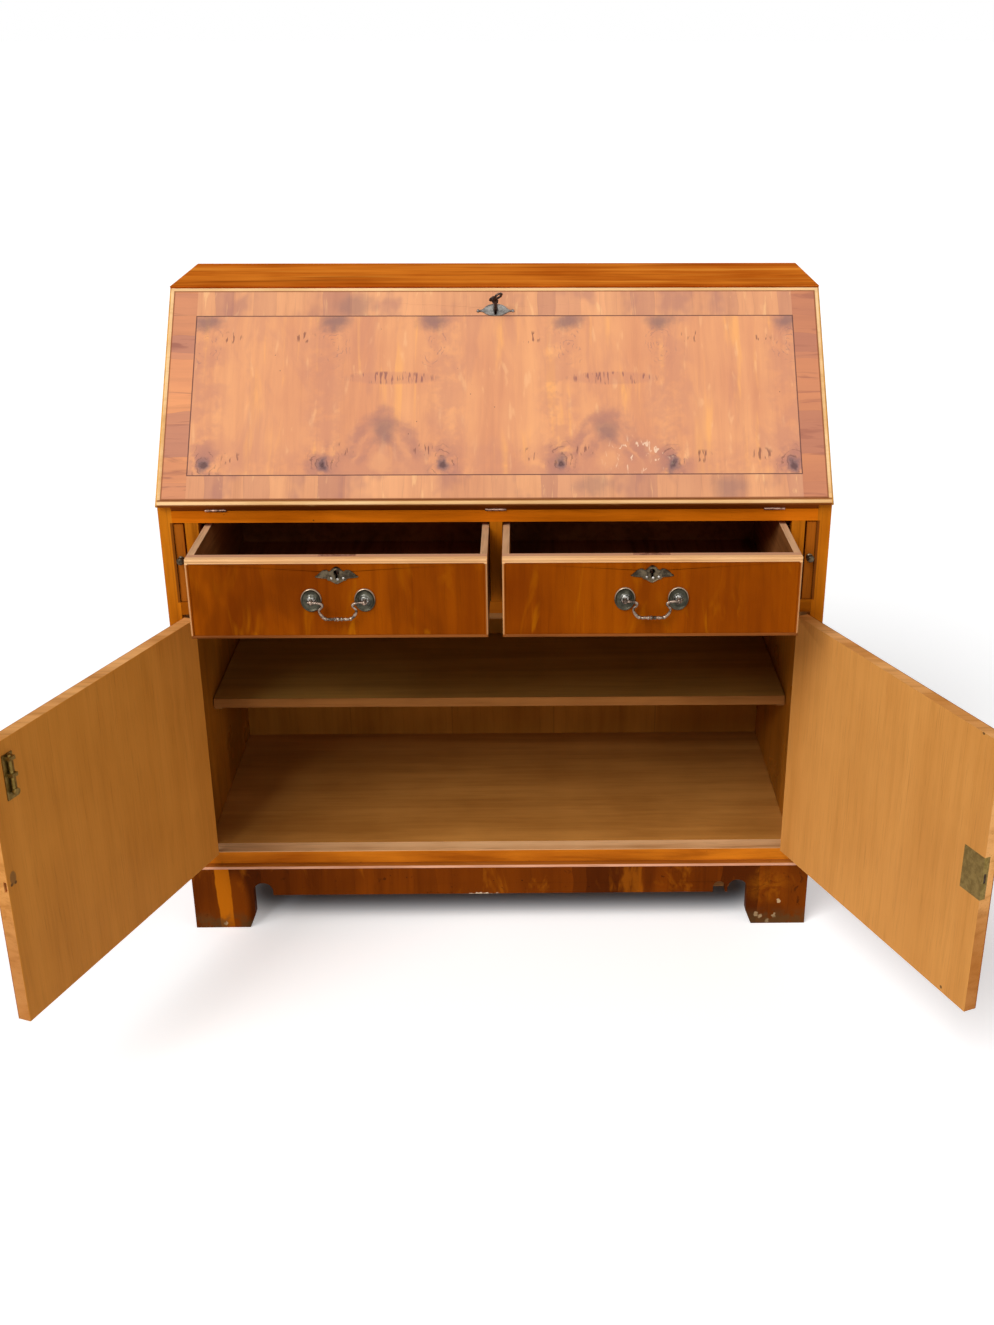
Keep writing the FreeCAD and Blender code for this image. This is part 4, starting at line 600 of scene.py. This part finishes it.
def shelf_wood():
    """Loose shelf: a board whose top carries painted light, with a slightly darker front edge."""
    look = Shader("shelf_wood")
    # Painted light: the top is paler than the front edge, standing in for light that reaches it inside the
    # cupboard.
    board = grain(look, 0, (0.31, 0.165, 0.034), (0.50, 0.280, 0.064), 1.9, 1.4, 0.05, 0.15)
    edge = grain(look, 0, (0.25, 0.094, 0.022), (0.42, 0.170, 0.044), 3.9, 1.0, 0.2, 0.2)
    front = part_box("shelf")[0].y
    colour = look.mix(look.ramp(look.split()[1], front + 0.0012, front + 0.0004), board, edge)
    return finish_wood(look, colour, 0.45, 0.01)


def back_wood():
    """Upright back boards, a little different in tone, with faint seams."""
    look = Shader("back_wood")
    colour = grain(look, 2, (0.34, 0.122, 0.013), (0.54, 0.215, 0.028), 0.1, 1.4, 0.05, 0.15)
    x = look.split()[0]
    low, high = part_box("back_boards")
    boards = 5
    width = (high.x - low.x) / boards
    seams = look.nearest(x, 0.0, [(low.x + count * width, 0.0) for count in range(1, boards)])
    tone, _ = look.blocks(look.sum("ADD", x, 0.5 * width), 1 / width)
    colour.veil(tone, 0.3, 0.9, (0.36, 0.125, 0.014), 0.35)
    colour.veil(seams, 0.0016, 0.0007, (0.05, 0.018, 0.004), 0.22)
    return finish_wood(look, colour, 0.5, 0.02)


def bottom_rail_wood():
    """Rail under the doors: worn pale on top, orange in front."""
    look, colour = strip_wood("bottom_rail_wood", 2.0, (0.36, 0.080, 0.003), (0.74, 0.225, 0.012))
    pale = grain(look, 0, (0.56, 0.27, 0.10), (0.86, 0.51, 0.25), 5.0, 1.3, 0.3, 0.3)
    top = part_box("bottom_rail")[1].z
    colour.veil(look.split()[2], top - 0.0014, top - 0.0008, pale)
    return finish_wood(look, colour, *STRIP_FINISH)


def moulding_wood():
    """Base moulding: brown hollow above a worn pinkish nose, which also carries a painted highlight."""
    look, colour = strip_wood("moulding_wood", 1.0, (0.26, 0.070, 0.006), (0.46, 0.150, 0.022))
    # The pale pink of the nose is partly a painted highlight.
    nose = grain(look, 0, (0.60, 0.26, 0.14), (0.86, 0.46, 0.29), 6.0, 1.3, 0.3, 0.3)
    nose_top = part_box("base_moulding")[1].z - 0.0035
    colour.veil(look.split()[2], nose_top + 0.001, nose_top, nose)
    return finish_wood(look, colour, *STRIP_FINISH)


LEFT_OPEN, RIGHT_OPEN = math.radians(111.6), math.radians(112.8)
HINGE_OUT, HINGE_FRONT = 0.4792, -0.0035


def door_place(side):
    """Pivot of an open door, the way it runs, and the way its inner face looks."""
    angle = LEFT_OPEN if side < 0 else RIGHT_OPEN
    along = Vector((side * -math.cos(angle), -math.sin(angle), 0))
    inner = Vector((-side * math.sin(angle), math.cos(angle), 0))
    return Vector((side * HINGE_OUT, HINGE_FRONT, 0)), along, inner


def door_wood(side, hand, shift, dark, light):
    """Plain lining inside the door, orange edges and a figured face outside."""
    look = Shader("door_%s_wood" % hand)
    pivot, along, inward = door_place(side)
    depth = look.along(pivot, inward)
    run = look.along(pivot, along)
    z = look.split()[2]
    lining = grain(look, 2, dark, light, shift, 2.0, 0.06, 0.22)
    vein = look.spread((shift, 1, 0), (1, 1, 0.012), 420, 2, 0.5)
    lining.veil(vein, 0.54, 0.66, darker(dark, 0.78), 0.14)
    marks = ((0.445, 0.5545), (0.426, 0.1503)) if side > 0 else ((0.4707, 0.3554), (0.463, 0.3554))
    lining.veil(look.nearest(run, z, marks), 0.0030, 0.0018, (0.05, 0.03, 0.015), 0.8)
    edge = grain(look, 0, (0.58, 0.22, 0.040), (0.88, 0.43, 0.14), shift + 1, 1.1, 0.3, 0.3)
    edge.veil(z, 0.38, 0.24, (0.38, 0.120, 0.022), 0.60)
    if side < 0:
        recess = look.spot(run, z, (0.4665, 0.3640), (0.0070, 0.0115), 0.3)
        lining.tint(recess, (0.17, 0.090, 0.032), 0.70)
    outer = grain(look, 2, (0.22, 0.044, 0.003), (0.48, 0.12, 0.010), shift + 2, 1.5, 0.4, 0.3)
    outer_face, inner_face = 0.0049, 0.0229
    colour = look.mix(look.below(depth, inner_face, 0.0003), lining, edge)
    colour = look.mix(look.below(depth, outer_face, 0.0003), colour, outer)
    return finish_wood(look, colour, 0.45, 0.03, 0.0002)


def metal(name, dark, light, rough, worn):
    """Old brass or iron: dark and light in patches, with small bright specks of rubbed metal."""
    look = Shader(name)
    patch = look.noise(look.here, 120, 4, 0.65)
    fine = look.noise(look.here, 900, 3, 0.6)
    bright = tuple(min(1, part * 2.2) for part in light)
    colour = look.mix(look.ramp(patch, 0.38, 0.62), dark, light)
    colour = look.mix(look.times(look.ramp(fine, 0.60, 0.72), worn), colour, bright)
    rough_now = look.ramp(fine, 0.3, 0.7, rough - 0.1, rough + 0.12)
    look.set(Base_Color=colour, Roughness=rough_now, Metallic=0.9)
    look.bump(look.sum("ADD", look.times(patch, 0.7), look.times(fine, 0.3)), 0.0003)
    return look.material


DISH_RADIUS, DISH_STRETCH = 15, 17.5 / 15


def dish_metal():
    """Dark smooth dishes of the handles, with a painted highlight along the upper half of the rim and a
    painted highlight at the centre.
    """
    look = Shader("dish_brass")
    x, _, z = look.split()
    patch = look.noise(look.here, 90, 3, 0.5)
    colour = look.mix(look.ramp(patch, 0.35, 0.65), (0.030, 0.028, 0.018), (0.085, 0.080, 0.055))
    centres = []
    for _, hand in HANDS:
        low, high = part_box("drawer_%s_rosettes" % hand)
        up = (low.z + high.z) / 2
        centres += [(low.x + DISH_RADIUS * MM, up), (high.x - DISH_RADIUS * MM, up)]
    far = look.nearest(x, z, centres, 1 / DISH_STRETCH)
    colour.veil(far, 0.0090, 0.0135, (0.065, 0.058, 0.040), 0.6)
    # Painted highlight: a light rim along the upper half of each dish.
    rim = look.times(look.ramp(far, 0.0136, 0.0142), look.above(z, up, 0.004))
    colour.tint(rim, (0.44, 0.31, 0.21), 0.75)
    # Painted highlight: a silvery patch at the centre of each dish.
    heart = look.times(look.ramp(far, 0.0085, 0.0030), look.ramp(look.noise(look.here, 420, 2), 0.40, 0.60))
    colour.tint(heart, (0.62, 0.60, 0.56), 0.8)
    look.set(Base_Color=colour, Roughness=look.ramp(patch, 0.3, 0.7, 0.34, 0.48), Metallic=0.85)
    return look.material


def leather():
    """Dark green writing leather with a fine grain."""
    look = Shader("leather")
    patch = look.noise(look.here, 18, 4, 0.6)
    colour = look.mix(look.ramp(patch, 0.35, 0.7), (0.055, 0.10, 0.045), (0.12, 0.17, 0.075))
    look.set(Base_Color=colour, Roughness=look.ramp(patch, 0.3, 0.7, 0.42, 0.6))
    look.bump(look.cells(650.0), 0.0003)
    return look.material


# Materials on the CAD pieces

ANTIQUE = metal("antique_brass", (0.036, 0.026, 0.016), (0.135, 0.102, 0.062), 0.40, 0.30)
SILVERED = metal("silvered_brass", (0.22, 0.20, 0.18), (0.48, 0.45, 0.41), 0.30, 0.45)
GILT = metal("gilt_brass", (0.160, 0.102, 0.022), (0.245, 0.165, 0.044), 0.38, 0.20)
BRIGHT = metal("bright_screw", (0.45, 0.34, 0.18), (0.75, 0.62, 0.38), 0.30, 0.30)
IRON = metal("key_iron", (0.030, 0.017, 0.013), (0.085, 0.055, 0.045), 0.42, 0.20)
GREY_PLATE = metal("grey_plate", (0.14, 0.130, 0.118), (0.30, 0.280, 0.255), 0.36, 0.30)
RUBBED = metal("rubbed_brass", (0.055, 0.040, 0.030), (0.34, 0.25, 0.19), 0.30, 0.40)
DISHES = dish_metal()
HINGE = metal("hinge_steel", (0.24, 0.135, 0.095), (0.50, 0.31, 0.23), 0.34, 0.15)

paint(fall_veneer(), "fall_board")
paint(lip_wood(), "fall_lip")
paint(top_wood(), "top_board")
for hand, side_shift, drawer_shift, bead_shift in (("left", 0.5, 0.0, 0.0), ("right", 1.6, 4.0, 3.0)):
    paint(side_wood(hand, side_shift), "side_" + hand)
    paint(drawer_wood(hand, drawer_shift), "drawer_%s_front" % hand)
    paint(bead_wood(hand, bead_shift), "drawer_%s_bead" % hand)
paint(box_wood(), "drawer_left_box", "drawer_right_box")
paint(apron_wood(), "plinth_front")
paint(wood("plinth_side_wood", 2, (0.11, 0.022, 0.003), (0.26, 0.06, 0.008), 1.2, 0.38, 0.03), "plinth_sides")
paint(moulding_wood(), "base_moulding")
paint(bottom_rail_wood(), "bottom_rail")
paint(bed_wood(), "bed_board")
MID_RAIL = strip_wood("mid_rail_wood", 4.0, (0.33, 0.080, 0.002), (0.56, 0.165, 0.007))
paint(finish_wood(*MID_RAIL, *STRIP_FINISH), "mid_rail")
paint(wood("upright_wood", 2, (0.34, 0.080, 0.002), (0.58, 0.175, 0.006), 2.4, 0.36, 0.02, figure=1.3),
      "front_uprights")
paint(wood("loper_wood", 2, (0.30, 0.070, 0.003), (0.52, 0.150, 0.014), 5.2, 0.36, 0.0, figure=1.3),
      "loper_left", "loper_right")
paint(door_wood(-1, "left", 0.4, (0.52, 0.190, 0.025), (0.68, 0.270, 0.044)), "door_left")
paint(door_wood(1, "right", 2.4, (0.58, 0.240, 0.050), (0.73, 0.330, 0.082)), "door_right")
paint(wood("floor_wood", 0, (0.34, 0.130, 0.022), (0.56, 0.245, 0.052), 0.7, 0.45, 0.01,
           figure=1.4, lines=0.05, pores=0.15), "cupboard_floor")
paint(shelf_wood(), "shelf")
paint(back_wood(), "back_boards")
paint(wood("plain_inner_wood", 0, (0.24, 0.10, 0.03), (0.42, 0.20, 0.06), 0.2, 0.45, 0.04),
      "dust_board", "door_stop_rail", "corner_blocks", "shelf_pegs", "pigeonholes", "small_drawer_left",
      "small_drawer_right", "rear_brackets")
paint(leather(), "writing_leather")
paint(HINGE, "bed_hinge_leaves", "fall_hinge_leaves", "drawer_left_lock", "drawer_right_lock")
paint(GILT, "side_hinge_leaves", "door_left_hinge_leaves", "door_right_hinge_leaves", "door_lock",
      "door_bolt_plate", "door_slide_bolt", "fall_lock", "small_drawer_left_knob", "small_drawer_right_knob")
paint(IRON, "fall_lock_bolt", "door_lock_bolt")
paint(ANTIQUE, "door_escutcheon")


# Hardware built as meshes. Profiles and outlines are in millimetres.

def finish_piece(name, form, body, material, slot, *nodes):
    """Turn a form into a smooth piece that rides on a body and stands for CAD nodes."""
    bmesh.ops.recalc_face_normals(form, faces=form.faces)
    mesh = bpy.data.meshes.new(name)
    form.to_mesh(mesh)
    form.free()
    mesh.shade_smooth()
    mesh.set_sharp_from_angle(angle=math.radians(38))
    piece = bpy.data.objects.new(name, mesh)
    bpy.context.scene.collection.objects.link(piece)
    paint(material, piece)
    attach(piece, body)
    if nodes:
        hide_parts(*nodes)


def bridge(form, rings):
    """Join closed rings of points, in order, with quads."""
    made = [[form.verts.new(point) for point in ring] for ring in rings]
    for low, high in zip(made, made[1:]):
        for step in range(len(low)):
            after = (step + 1) % len(low)
            form.faces.new((low[step], low[after], high[after], high[step]))
    return made


def lathe(form, centre, out, across, profile, steps, stretch=1.0):
    """Turn (radius, reach) pairs about the out direction; stretch makes the form oval."""
    up = out.cross(across)
    rings = []
    for radius, reach in profile:
        ring = []
        for step in range(steps):
            turn = 2 * math.pi * step / steps
            side = across * math.cos(turn) + up * (math.sin(turn) * stretch)
            ring.append(centre + (out * reach + side * radius) * MM)
        rings.append(ring)
    cap(form, bridge(form, rings))


CURVE_STEPS = 4


def smooth_line(points, closed=False):
    """Points along a smooth curve through the given ones."""
    count = len(points)
    line = []
    for start in range(count if closed else count - 1):
        four = []
        for offset in (-1, 0, 1, 2):
            spot = (start + offset) % count if closed else min(max(start + offset, 0), count - 1)
            four.append(Vector(points[spot]))
        before, here, there, after = four
        for step in range(CURVE_STEPS):
            share = step / CURVE_STEPS
            line.append(0.5 * (2 * here + (there - before) * share
                               + (2 * before - 5 * here + 4 * there - after) * share ** 2
                               + (3 * here - before - 3 * there + after) * share ** 3))
    return line if closed else line + [Vector(points[-1])]


def mirrored_outline(right):
    """Smooth clockwise outline whose right half runs from its top to its foot."""
    left = [(-across, up) for across, up in reversed(right[1:-1])]
    return smooth_line([*right, *left], True)


def offset_outline(outline, distance):
    """A clockwise outline moved inward by a distance."""
    moved = []
    for index, point in enumerate(outline):
        run = (outline[(index + 1) % len(outline)] - outline[index - 1]).normalized()
        moved.append(point + Vector((run.y, -run.x)) * distance)
    return moved


def cap(form, rings):
    """Close the first and the last of some rings."""
    form.faces.new(rings[0])
    form.faces.new(rings[-1])


def plate(form, outline, hole, place, thick, rim):
    """Thin plate with a raised rim round its outline and round its hole, both given clockwise."""
    corners, flat = [], []
    for path, way in ((outline, 1), (hole, -1)):
        rings = []
        for inset, out in ((0, 0), (0, thick), (0.4 * rim, thick + 0.6 * rim), (rim, thick + 0.6 * rim),
                           (1.7 * rim, thick - 0.1 * rim)):
            rings.append([place(point, out) for point in offset_outline(path, way * inset)])
        corners += bridge(form, rings)[-1]
        flat.append([point.to_3d() for point in offset_outline(path, way * 1.7 * rim)])
    for three in geometry.tessellate_polygon(flat):
        form.faces.new([corners[index] for index in three])


def keyhole_outline(up, radius, half_slot, slot):
    """Clockwise outline of a round hole over a slot."""
    start = math.degrees(math.acos(half_slot / radius)) - 180
    points = [Vector((-half_slot, up - slot))]
    for step in range(17):
        turn = math.radians(start - (540 + 2 * start) * step / 16)
        points.append(Vector((radius * math.cos(turn), up + radius * math.sin(turn))))
    return points + [Vector((half_slot, up - slot))]


def tube(form, line, side, lobes):
    """Round bar in one plane, along points that carry their radius; lobes give it a rope twist."""
    rings = []
    for index, point in enumerate(line):
        ahead = (line[min(index + 1, len(line) - 1)] - line[max(index - 1, 0)]).to_3d().normalized()
        up = ahead.cross(side)
        ring = []
        for step in range(16):
            turn = 2 * math.pi * step / 16
            radius = point.w * (1 + lobes * math.cos(2 * turn + 0.55 * index))
            ring.append(point.to_3d() + (side * math.cos(turn) + up * math.sin(turn)) * radius)
        rings.append(ring)
    cap(form, bridge(form, rings))


def ball(form, centre, radius, flat, out):
    """A bead; flat below 1 squeezes it along the out direction."""
    profile = []
    for step in range(11):
        turn = math.pi * (step + 0.3) / 10.6
        profile.append((radius * math.sin(turn), -radius * flat * math.cos(turn)))
    lathe(form, centre, out, EAST, profile, 20)


SCREW_RADIUS = 2.3


def screw(form, centre, out, across):
    """Slotted screw head: a shallow disc under two half rounds."""
    radius = SCREW_RADIUS
    lathe(form, centre, out, across, ((radius, -0.1), (radius, 0.15), (radius - 0.1, 0.25)), 24)
    up = out.cross(across)
    for way in (-1, 1):
        rings = []
        for share, reach in ((0.94, 0.2), (0.94, 0.45), (0.8, 0.62)):
            ring = []
            for step in range(13):
                turn = math.radians(-76 + 152 * step / 12)
                side = across * (way * math.cos(turn)) + up * (way * math.sin(turn))
                ring.append(centre + (out * reach + side * (share * radius)) * MM)
            rings.append(ring)
        form.faces.new(bridge(form, rings)[-1])


# Drawer furniture

WING = ((0, 12.4), (4.8, 11.8), (7.6, 8.8), (11, 7.3), (13, 9.1), (18.6, 8.8), (24, 5), (27.5, 1.6),
        (30.8, -1), (25.5, -2.6), (18.6, -3.3), (14.5, -4), (12.4, -6.4), (9, -7.1), (4.8, -9.7), (0, -11.6))
DISH = ((15, 0), (15, 1.4), (14.6, 2.3), (13.9, 2.7), (13.1, 2.4), (12.5, 1.5), (11.5, 0.9), (9.5, 0.8),
        (7.5, 1.3), (6.3, 2.3), (5.6, 3.8), (4.4, 4.9), (3.2, 5.4))
POST = ((3.4, 4.6), (3.0, 6.6), (2.7, 8), (3.0, 9.4), (3.5, 11), (3.5, 12.4), (3.2, 13.8), (2.5, 14.9),
        (1.4, 15.5), (0.4, 15.6))
BAIL = ((42.6, 0, 1.3), (41.6, 0, 1.8), (36, 0, 1.8), (29, -0.3, 1.8), (24.6, -1.4, 2.1), (21.6, -3.4, 2.2),
        (21.3, -5.6, 1.8), (23.4, -7.8, 1.6), (26.0, -10.8, 1.9), (26.0, -14.8, 2.0), (23.6, -19, 2.2),
        (20.6, -22.4, 2.3), (17.4, -24.2, 2.9), (15.6, -24.7, 1.8), (14.0, -24.8, 2.1), (11, -24.8, 2.3),
        (8.2, -24.8, 2.0), (7.2, -24.8, 1.7), (5.9, -24.8, 2.6), (4.7, -24.8, 2.9), (3.5, -24.8, 2.5),
        (2.6, -24.8, 1.8), (1.6, -24.8, 2.6), (0, -24.8, 3.1))
BAIL_OUT = 12
WING_KEYHOLE_UP = 5.6


def dress_drawer(hand):
    """Winged keyhole plate, two rosettes and the bail of one drawer."""
    body = "drawer_" + hand
    low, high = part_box(body + "_escutcheon")
    wing_x, face, wing_up = (low.x + high.x) / 2, high.y, (low.z + high.z) / 2

    def place(point, out):
        return Vector((wing_x + point.x * MM, face - out * MM, wing_up + point.y * MM))

    form = bmesh.new()
    plate(form, mirrored_outline(WING), keyhole_outline(WING_KEYHOLE_UP, 3.7, 1.6, 9.0), place, 0.9, 0.75)
    finish_piece(body + "_wing_plate", form, body, ANTIQUE, "brass", body + "_escutcheon")
    form = bmesh.new()
    for across, up in ((-7.6, -3.0), (1.2, -4.4), (9.2, -2.8)):
        ball(form, place(Vector((across, up)), 1.2), 2.1, 0.75, OUTWARD)
    finish_piece(body + "_wing_beads", form, body, SILVERED, "brass")

    low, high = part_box(body + "_rosettes")
    up = (low.z + high.z) / 2
    form = bmesh.new()
    posts = bmesh.new()
    for centre_x in (low.x + DISH_RADIUS * MM, high.x - DISH_RADIUS * MM):
        centre = Vector((centre_x, face, up))
        lathe(form, centre, OUTWARD, EAST, DISH, 48, DISH_STRETCH)
        lathe(posts, centre, OUTWARD, EAST, POST, 28)
    finish_piece(body + "_dishes", form, body, DISHES, "brass", body + "_rosettes")
    finish_piece(body + "_posts", posts, body, RUBBED, "brass")

    low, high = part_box(body + "_bail")
    pivot = Vector(((low.x + high.x) / 2, face - BAIL_OUT * MM, up))
    half = [(pivot.x + across * MM, pivot.y, pivot.z + drop * MM, radius * MM)
            for across, drop, radius in BAIL]
    mirrored = [(2 * pivot.x - across, deep, height, radius) for across, deep, height, radius in half[:-1]]
    form = bmesh.new()
    tube(form, smooth_line(half + mirrored[::-1]), -OUTWARD, 0.07)
    finish_piece(body + "_handle", form, body + "_bail", RUBBED, "brass", body + "_bail")


# Fall: keyhole plate and key

LENS = ((0, 10.3), (8, 9.4), (13, 7.2), (16.8, 4.0), (19.6, 1.3), (22.4, 0.1), (25, -0.3), (25, -2.9),
        (21.6, -3.4), (18.2, -4.6), (14.4, -7.2), (8, -9.6), (0, -10.4))
SHANK = ((2.3, -14), (2.3, 1.2), (3.4, 2.0), (3.8, 3.2), (3.5, 4.6), (3.4, 8), (3.4, 21), (3.9, 23),
         (4.8, 24.4), (5.0, 26), (4.4, 27.4), (3.2, 28.6), (2.8, 31))
KEYHOLE_BELOW_TOP = 0.042
KEY_EYES_AT = 35.6
KEY_TILT = math.radians(28)


def dress_fall():
    """Lens-shaped keyhole plate with ball tips, and the key standing in it."""
    centre = FALL_FOOT + UP_SLOPE * (FALL_LENGTH - KEYHOLE_BELOW_TOP)

    def place(point, out):
        return centre + (EAST * point.x + UP_SLOPE * point.y + OUT_SLOPE * out) * MM

    form = bmesh.new()
    plate(form, mirrored_outline(LENS), keyhole_outline(0, 3.4, 1.7, 8.4), place, 1.0, 0.8)
    for way in (-1, 1):
        ball(form, place(Vector((way * 26.6, -1.7)), 1.0), 2.5, 0.7, OUT_SLOPE)
    finish_piece("fall_keyhole_plate", form, "fall", GREY_PLATE, "brass", "fall_escutcheon")

    form = bmesh.new()
    add_key(form, centre)
    finish_piece("fall_turning_key", form, "key", IRON, "steel", "fall_key")


def add_key(form, centre):
    """Shank with two eyes as its grip, and the bit inside the lock."""
    across = EAST * math.cos(KEY_TILT) + UP_SLOPE * math.sin(KEY_TILT)
    thick = OUT_SLOPE.cross(across)
    lathe(form, centre, OUT_SLOPE, across, SHANK, 28)
    for way, radius, bar in ((1, 4.9, 1.75), (-1, 3.6, 1.7)):
        ring_at = centre + (across * (way * (radius + 0.6)) + OUT_SLOPE * (KEY_EYES_AT + 0.3 * way)) * MM
        rings = []
        for step in range(28):
            turn = 2 * math.pi * step / 28
            away = across * (math.cos(turn) * 1.12) + OUT_SLOPE * math.sin(turn)
            ring = []
            for part in range(12):
                bend = 2 * math.pi * part / 12
                from_eye = away * (radius + bar * math.cos(bend)) + thick * (bar * math.sin(bend))
                ring.append(ring_at + from_eye * MM)
            rings.append(ring)
        bridge(form, rings + rings[:1])
    down = -UP_SLOPE * math.cos(KEY_TILT) + EAST * math.sin(KEY_TILT)
    bit = []
    for reach in (-14, -9):
        bit.append([centre + (OUT_SLOPE * reach + down * drop + across * side) * MM
                    for drop, side in ((1.5, -1.1), (7.4, -1.1), (7.4, 1.1), (1.5, 1.1))])
    cap(form, bridge(form, bit))


# Supports: turned knobs

PULL = ((5.2, 0), (5.2, 0.8), (4.4, 1.5), (2.7, 2.3), (2.3, 4), (2.6, 5.6), (4.4, 6.6), (5.8, 8), (6.0, 9.6),
        (5.4, 11.4), (4.1, 12.8), (2.2, 13.7), (0.5, 13.95))


def dress_supports():
    """Turned knobs of the two supports."""
    for _, hand in HANDS:
        low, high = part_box("loper_%s_knob" % hand)
        form = bmesh.new()
        foot = Vector(((low.x + high.x) / 2, high.y, (low.z + high.z) / 2))
        lathe(form, foot, OUTWARD, EAST, PULL, 32)
        finish_piece("support_knob_" + hand, form, "loper_" + hand, ANTIQUE, "brass", "loper_%s_knob" % hand)


# Doors: screws of the lock, the bolt plate and the hinges

HINGE_FEET = (197, 459)
HINGE_SCREWS = [(9.5, foot + rise, 20.1) for foot in HINGE_FEET for rise in (6, 21, 36)]
BOLT_PLATE_SCREWS = [(450.2, 519, 21.7), (437, 483, 21.7)]
LOCK_SCREWS = [(453.9, 379.5, 20.1), (453.9, 327.8, 20.1)]


def dress_doors():
    """Screw heads in everything that is screwed to the inner faces of the doors."""
    for side, hand in HANDS:
        pivot, along, inner = door_place(side)
        spots = HINGE_SCREWS + (LOCK_SCREWS if side > 0 else BOLT_PLATE_SCREWS)
        form = bmesh.new()
        for run, height, out in spots:
            where = pivot + (along * run + inner * out) * MM
            screw(form, Vector((where.x, where.y, height * MM)), inner, along)
        finish_piece("door_screws_" + hand, form, "door_" + hand, BRIGHT, "brass")


for _, hand in HANDS:
    dress_drawer(hand)
dress_fall()
dress_supports()
dress_doors()


SMALL = ("lock", "hinge", "key", "bail", "rosettes", "escutcheon", "bolt", "knob")


def soften():
    """Take the sharpness off the CAD pieces' edges."""
    for name, piece in NODES.items():
        weld = piece.modifiers.new("weld", "WELD")
        weld.merge_threshold = 0.00001
        bevel = piece.modifiers.new("soft_edge", "BEVEL")
        bevel.width = 0.0002 if any(word in name for word in SMALL) else 0.0006
        bevel.segments = 2
        bevel.limit_method = "ANGLE"
        bevel.angle_limit = math.radians(35)


soften()


# Floor, light and camera

FLOOR_LIFT = 0.32
WORLD_LIGHT = 0.26
SHADE_HALF_WIDTH = 0.38
SHADE_MIDDLE, SHADE_HALF_DEPTH = 0.27, 0.15


def add_floor():
    """White floor with a painted shadow under the bureau. Only the view and reflections show its slight glow.
    """
    mesh = bpy.data.meshes.new("floor")
    form = bmesh.new()
    bmesh.ops.create_grid(form, x_segments=1, y_segments=1, size=60)
    form.to_mesh(mesh)
    form.free()
    floor = bpy.data.objects.new("floor", mesh)
    bpy.context.scene.collection.objects.link(floor)
    look = Shader("pale_floor")
    x, y, _ = look.split()
    beside = look.either(look.sum("SUBTRACT", look.sum("ABSOLUTE", x), SHADE_HALF_WIDTH), 0.0)
    before = look.either(look.sum("SUBTRACT", look.gap(y, SHADE_MIDDLE), SHADE_HALF_DEPTH), 0.0)
    away = look.reach(beside, before)
    # Painted shadow: the floor's colour is darker and bluer under the bureau.
    painted_shadow = look.mix(look.ramp(away, 0.045, 0.105), (0.38, 0.42, 0.48), (0.98, 0.98, 0.98))
    look.set(Base_Color=painted_shadow, Roughness=0.9)
    look.surface.inputs["Specular IOR Level"].default_value = 0.0
    rays = look.node("LightPath").outputs
    seen = look.either(rays["Is Camera Ray"], rays["Is Glossy Ray"], rays["Is Transmission Ray"])
    lift = look.ramp(away, 0.03, 0.13, 0.0, FLOOR_LIFT)
    look.set(Emission_Color=(1, 1, 1), Emission_Strength=look.times(seen, lift))
    paint(look.material, floor)


def add_world():
    """White in the view and in reflections, and a weaker light on everything else."""
    world = bpy.data.worlds.new("studio")
    bpy.context.scene.world = world
    world.use_nodes = True
    nodes, links = world.node_tree.nodes, world.node_tree.links
    rays = nodes.new("ShaderNodeLightPath").outputs
    level = WORLD_LIGHT
    for name in ("Is Camera Ray", "Is Glossy Ray", "Is Transmission Ray"):
        most = nodes.new("ShaderNodeMath")
        most.operation = "MAXIMUM"
        links.new(rays[name], most.inputs[0])
        if isinstance(level, float):
            most.inputs[1].default_value = level
        else:
            links.new(level, most.inputs[1])
        level = most.outputs[0]
    back = nodes["Background"]
    back.inputs["Color"].default_value = (1, 1, 1, 1)
    links.new(level, back.inputs["Strength"])


def add_sun(name, direction, strength, softness):
    lamp = bpy.data.lights.new(name, "SUN")
    lamp.energy = strength
    lamp.angle = math.radians(softness)
    holder = bpy.data.objects.new(name, lamp)
    bpy.context.scene.collection.objects.link(holder)
    holder.rotation_euler = Vector(direction).to_track_quat("-Z", "Y").to_euler()


add_floor()
add_world()
add_sun("key_light", (0.55, 0.75, -0.85), 2.2, 36)
add_sun("fill_light", (-0.7, 0.8, -0.7), 0.45, 70)

FRAME_WIDTH, FRAME_HEIGHT = 994, 1325
FOCAL_PIXELS = 1524.98
PRINCIPAL = (548.4, 695.8)
CAMERA_AT = (0.04124, -2.17353, 1.40829)
CAMERA_PITCH, CAMERA_YAW, CAMERA_ROLL = 0.4275, 0.0171, 0.0013


def add_camera():
    """Camera that was fitted to the photo."""
    pitch, yaw, roll = CAMERA_PITCH, CAMERA_YAW, CAMERA_ROLL
    ahead = Vector((math.sin(yaw) * math.cos(pitch), math.cos(yaw) * math.cos(pitch), -math.sin(pitch)))
    right = Vector((math.cos(yaw), -math.sin(yaw), 0))
    up = right.cross(ahead)
    right, up = math.cos(roll) * right + math.sin(roll) * up, math.cos(roll) * up - math.sin(roll) * right
    lens = bpy.data.cameras.new("camera")
    holder = bpy.data.objects.new("camera", lens)
    bpy.context.scene.collection.objects.link(holder)
    turn = Matrix((right, up, -ahead)).transposed().to_4x4()
    holder.matrix_world = Matrix.Translation(CAMERA_AT) @ turn
    lens.sensor_width = 36
    lens.lens = FOCAL_PIXELS / FRAME_HEIGHT * lens.sensor_width
    lens.shift_x = (FRAME_WIDTH / 2 - PRINCIPAL[0]) / FRAME_HEIGHT
    lens.shift_y = (PRINCIPAL[1] - FRAME_HEIGHT / 2) / FRAME_HEIGHT
    bpy.context.scene.camera = holder


add_camera()
bpy.context.scene.view_settings.view_transform = "Standard"
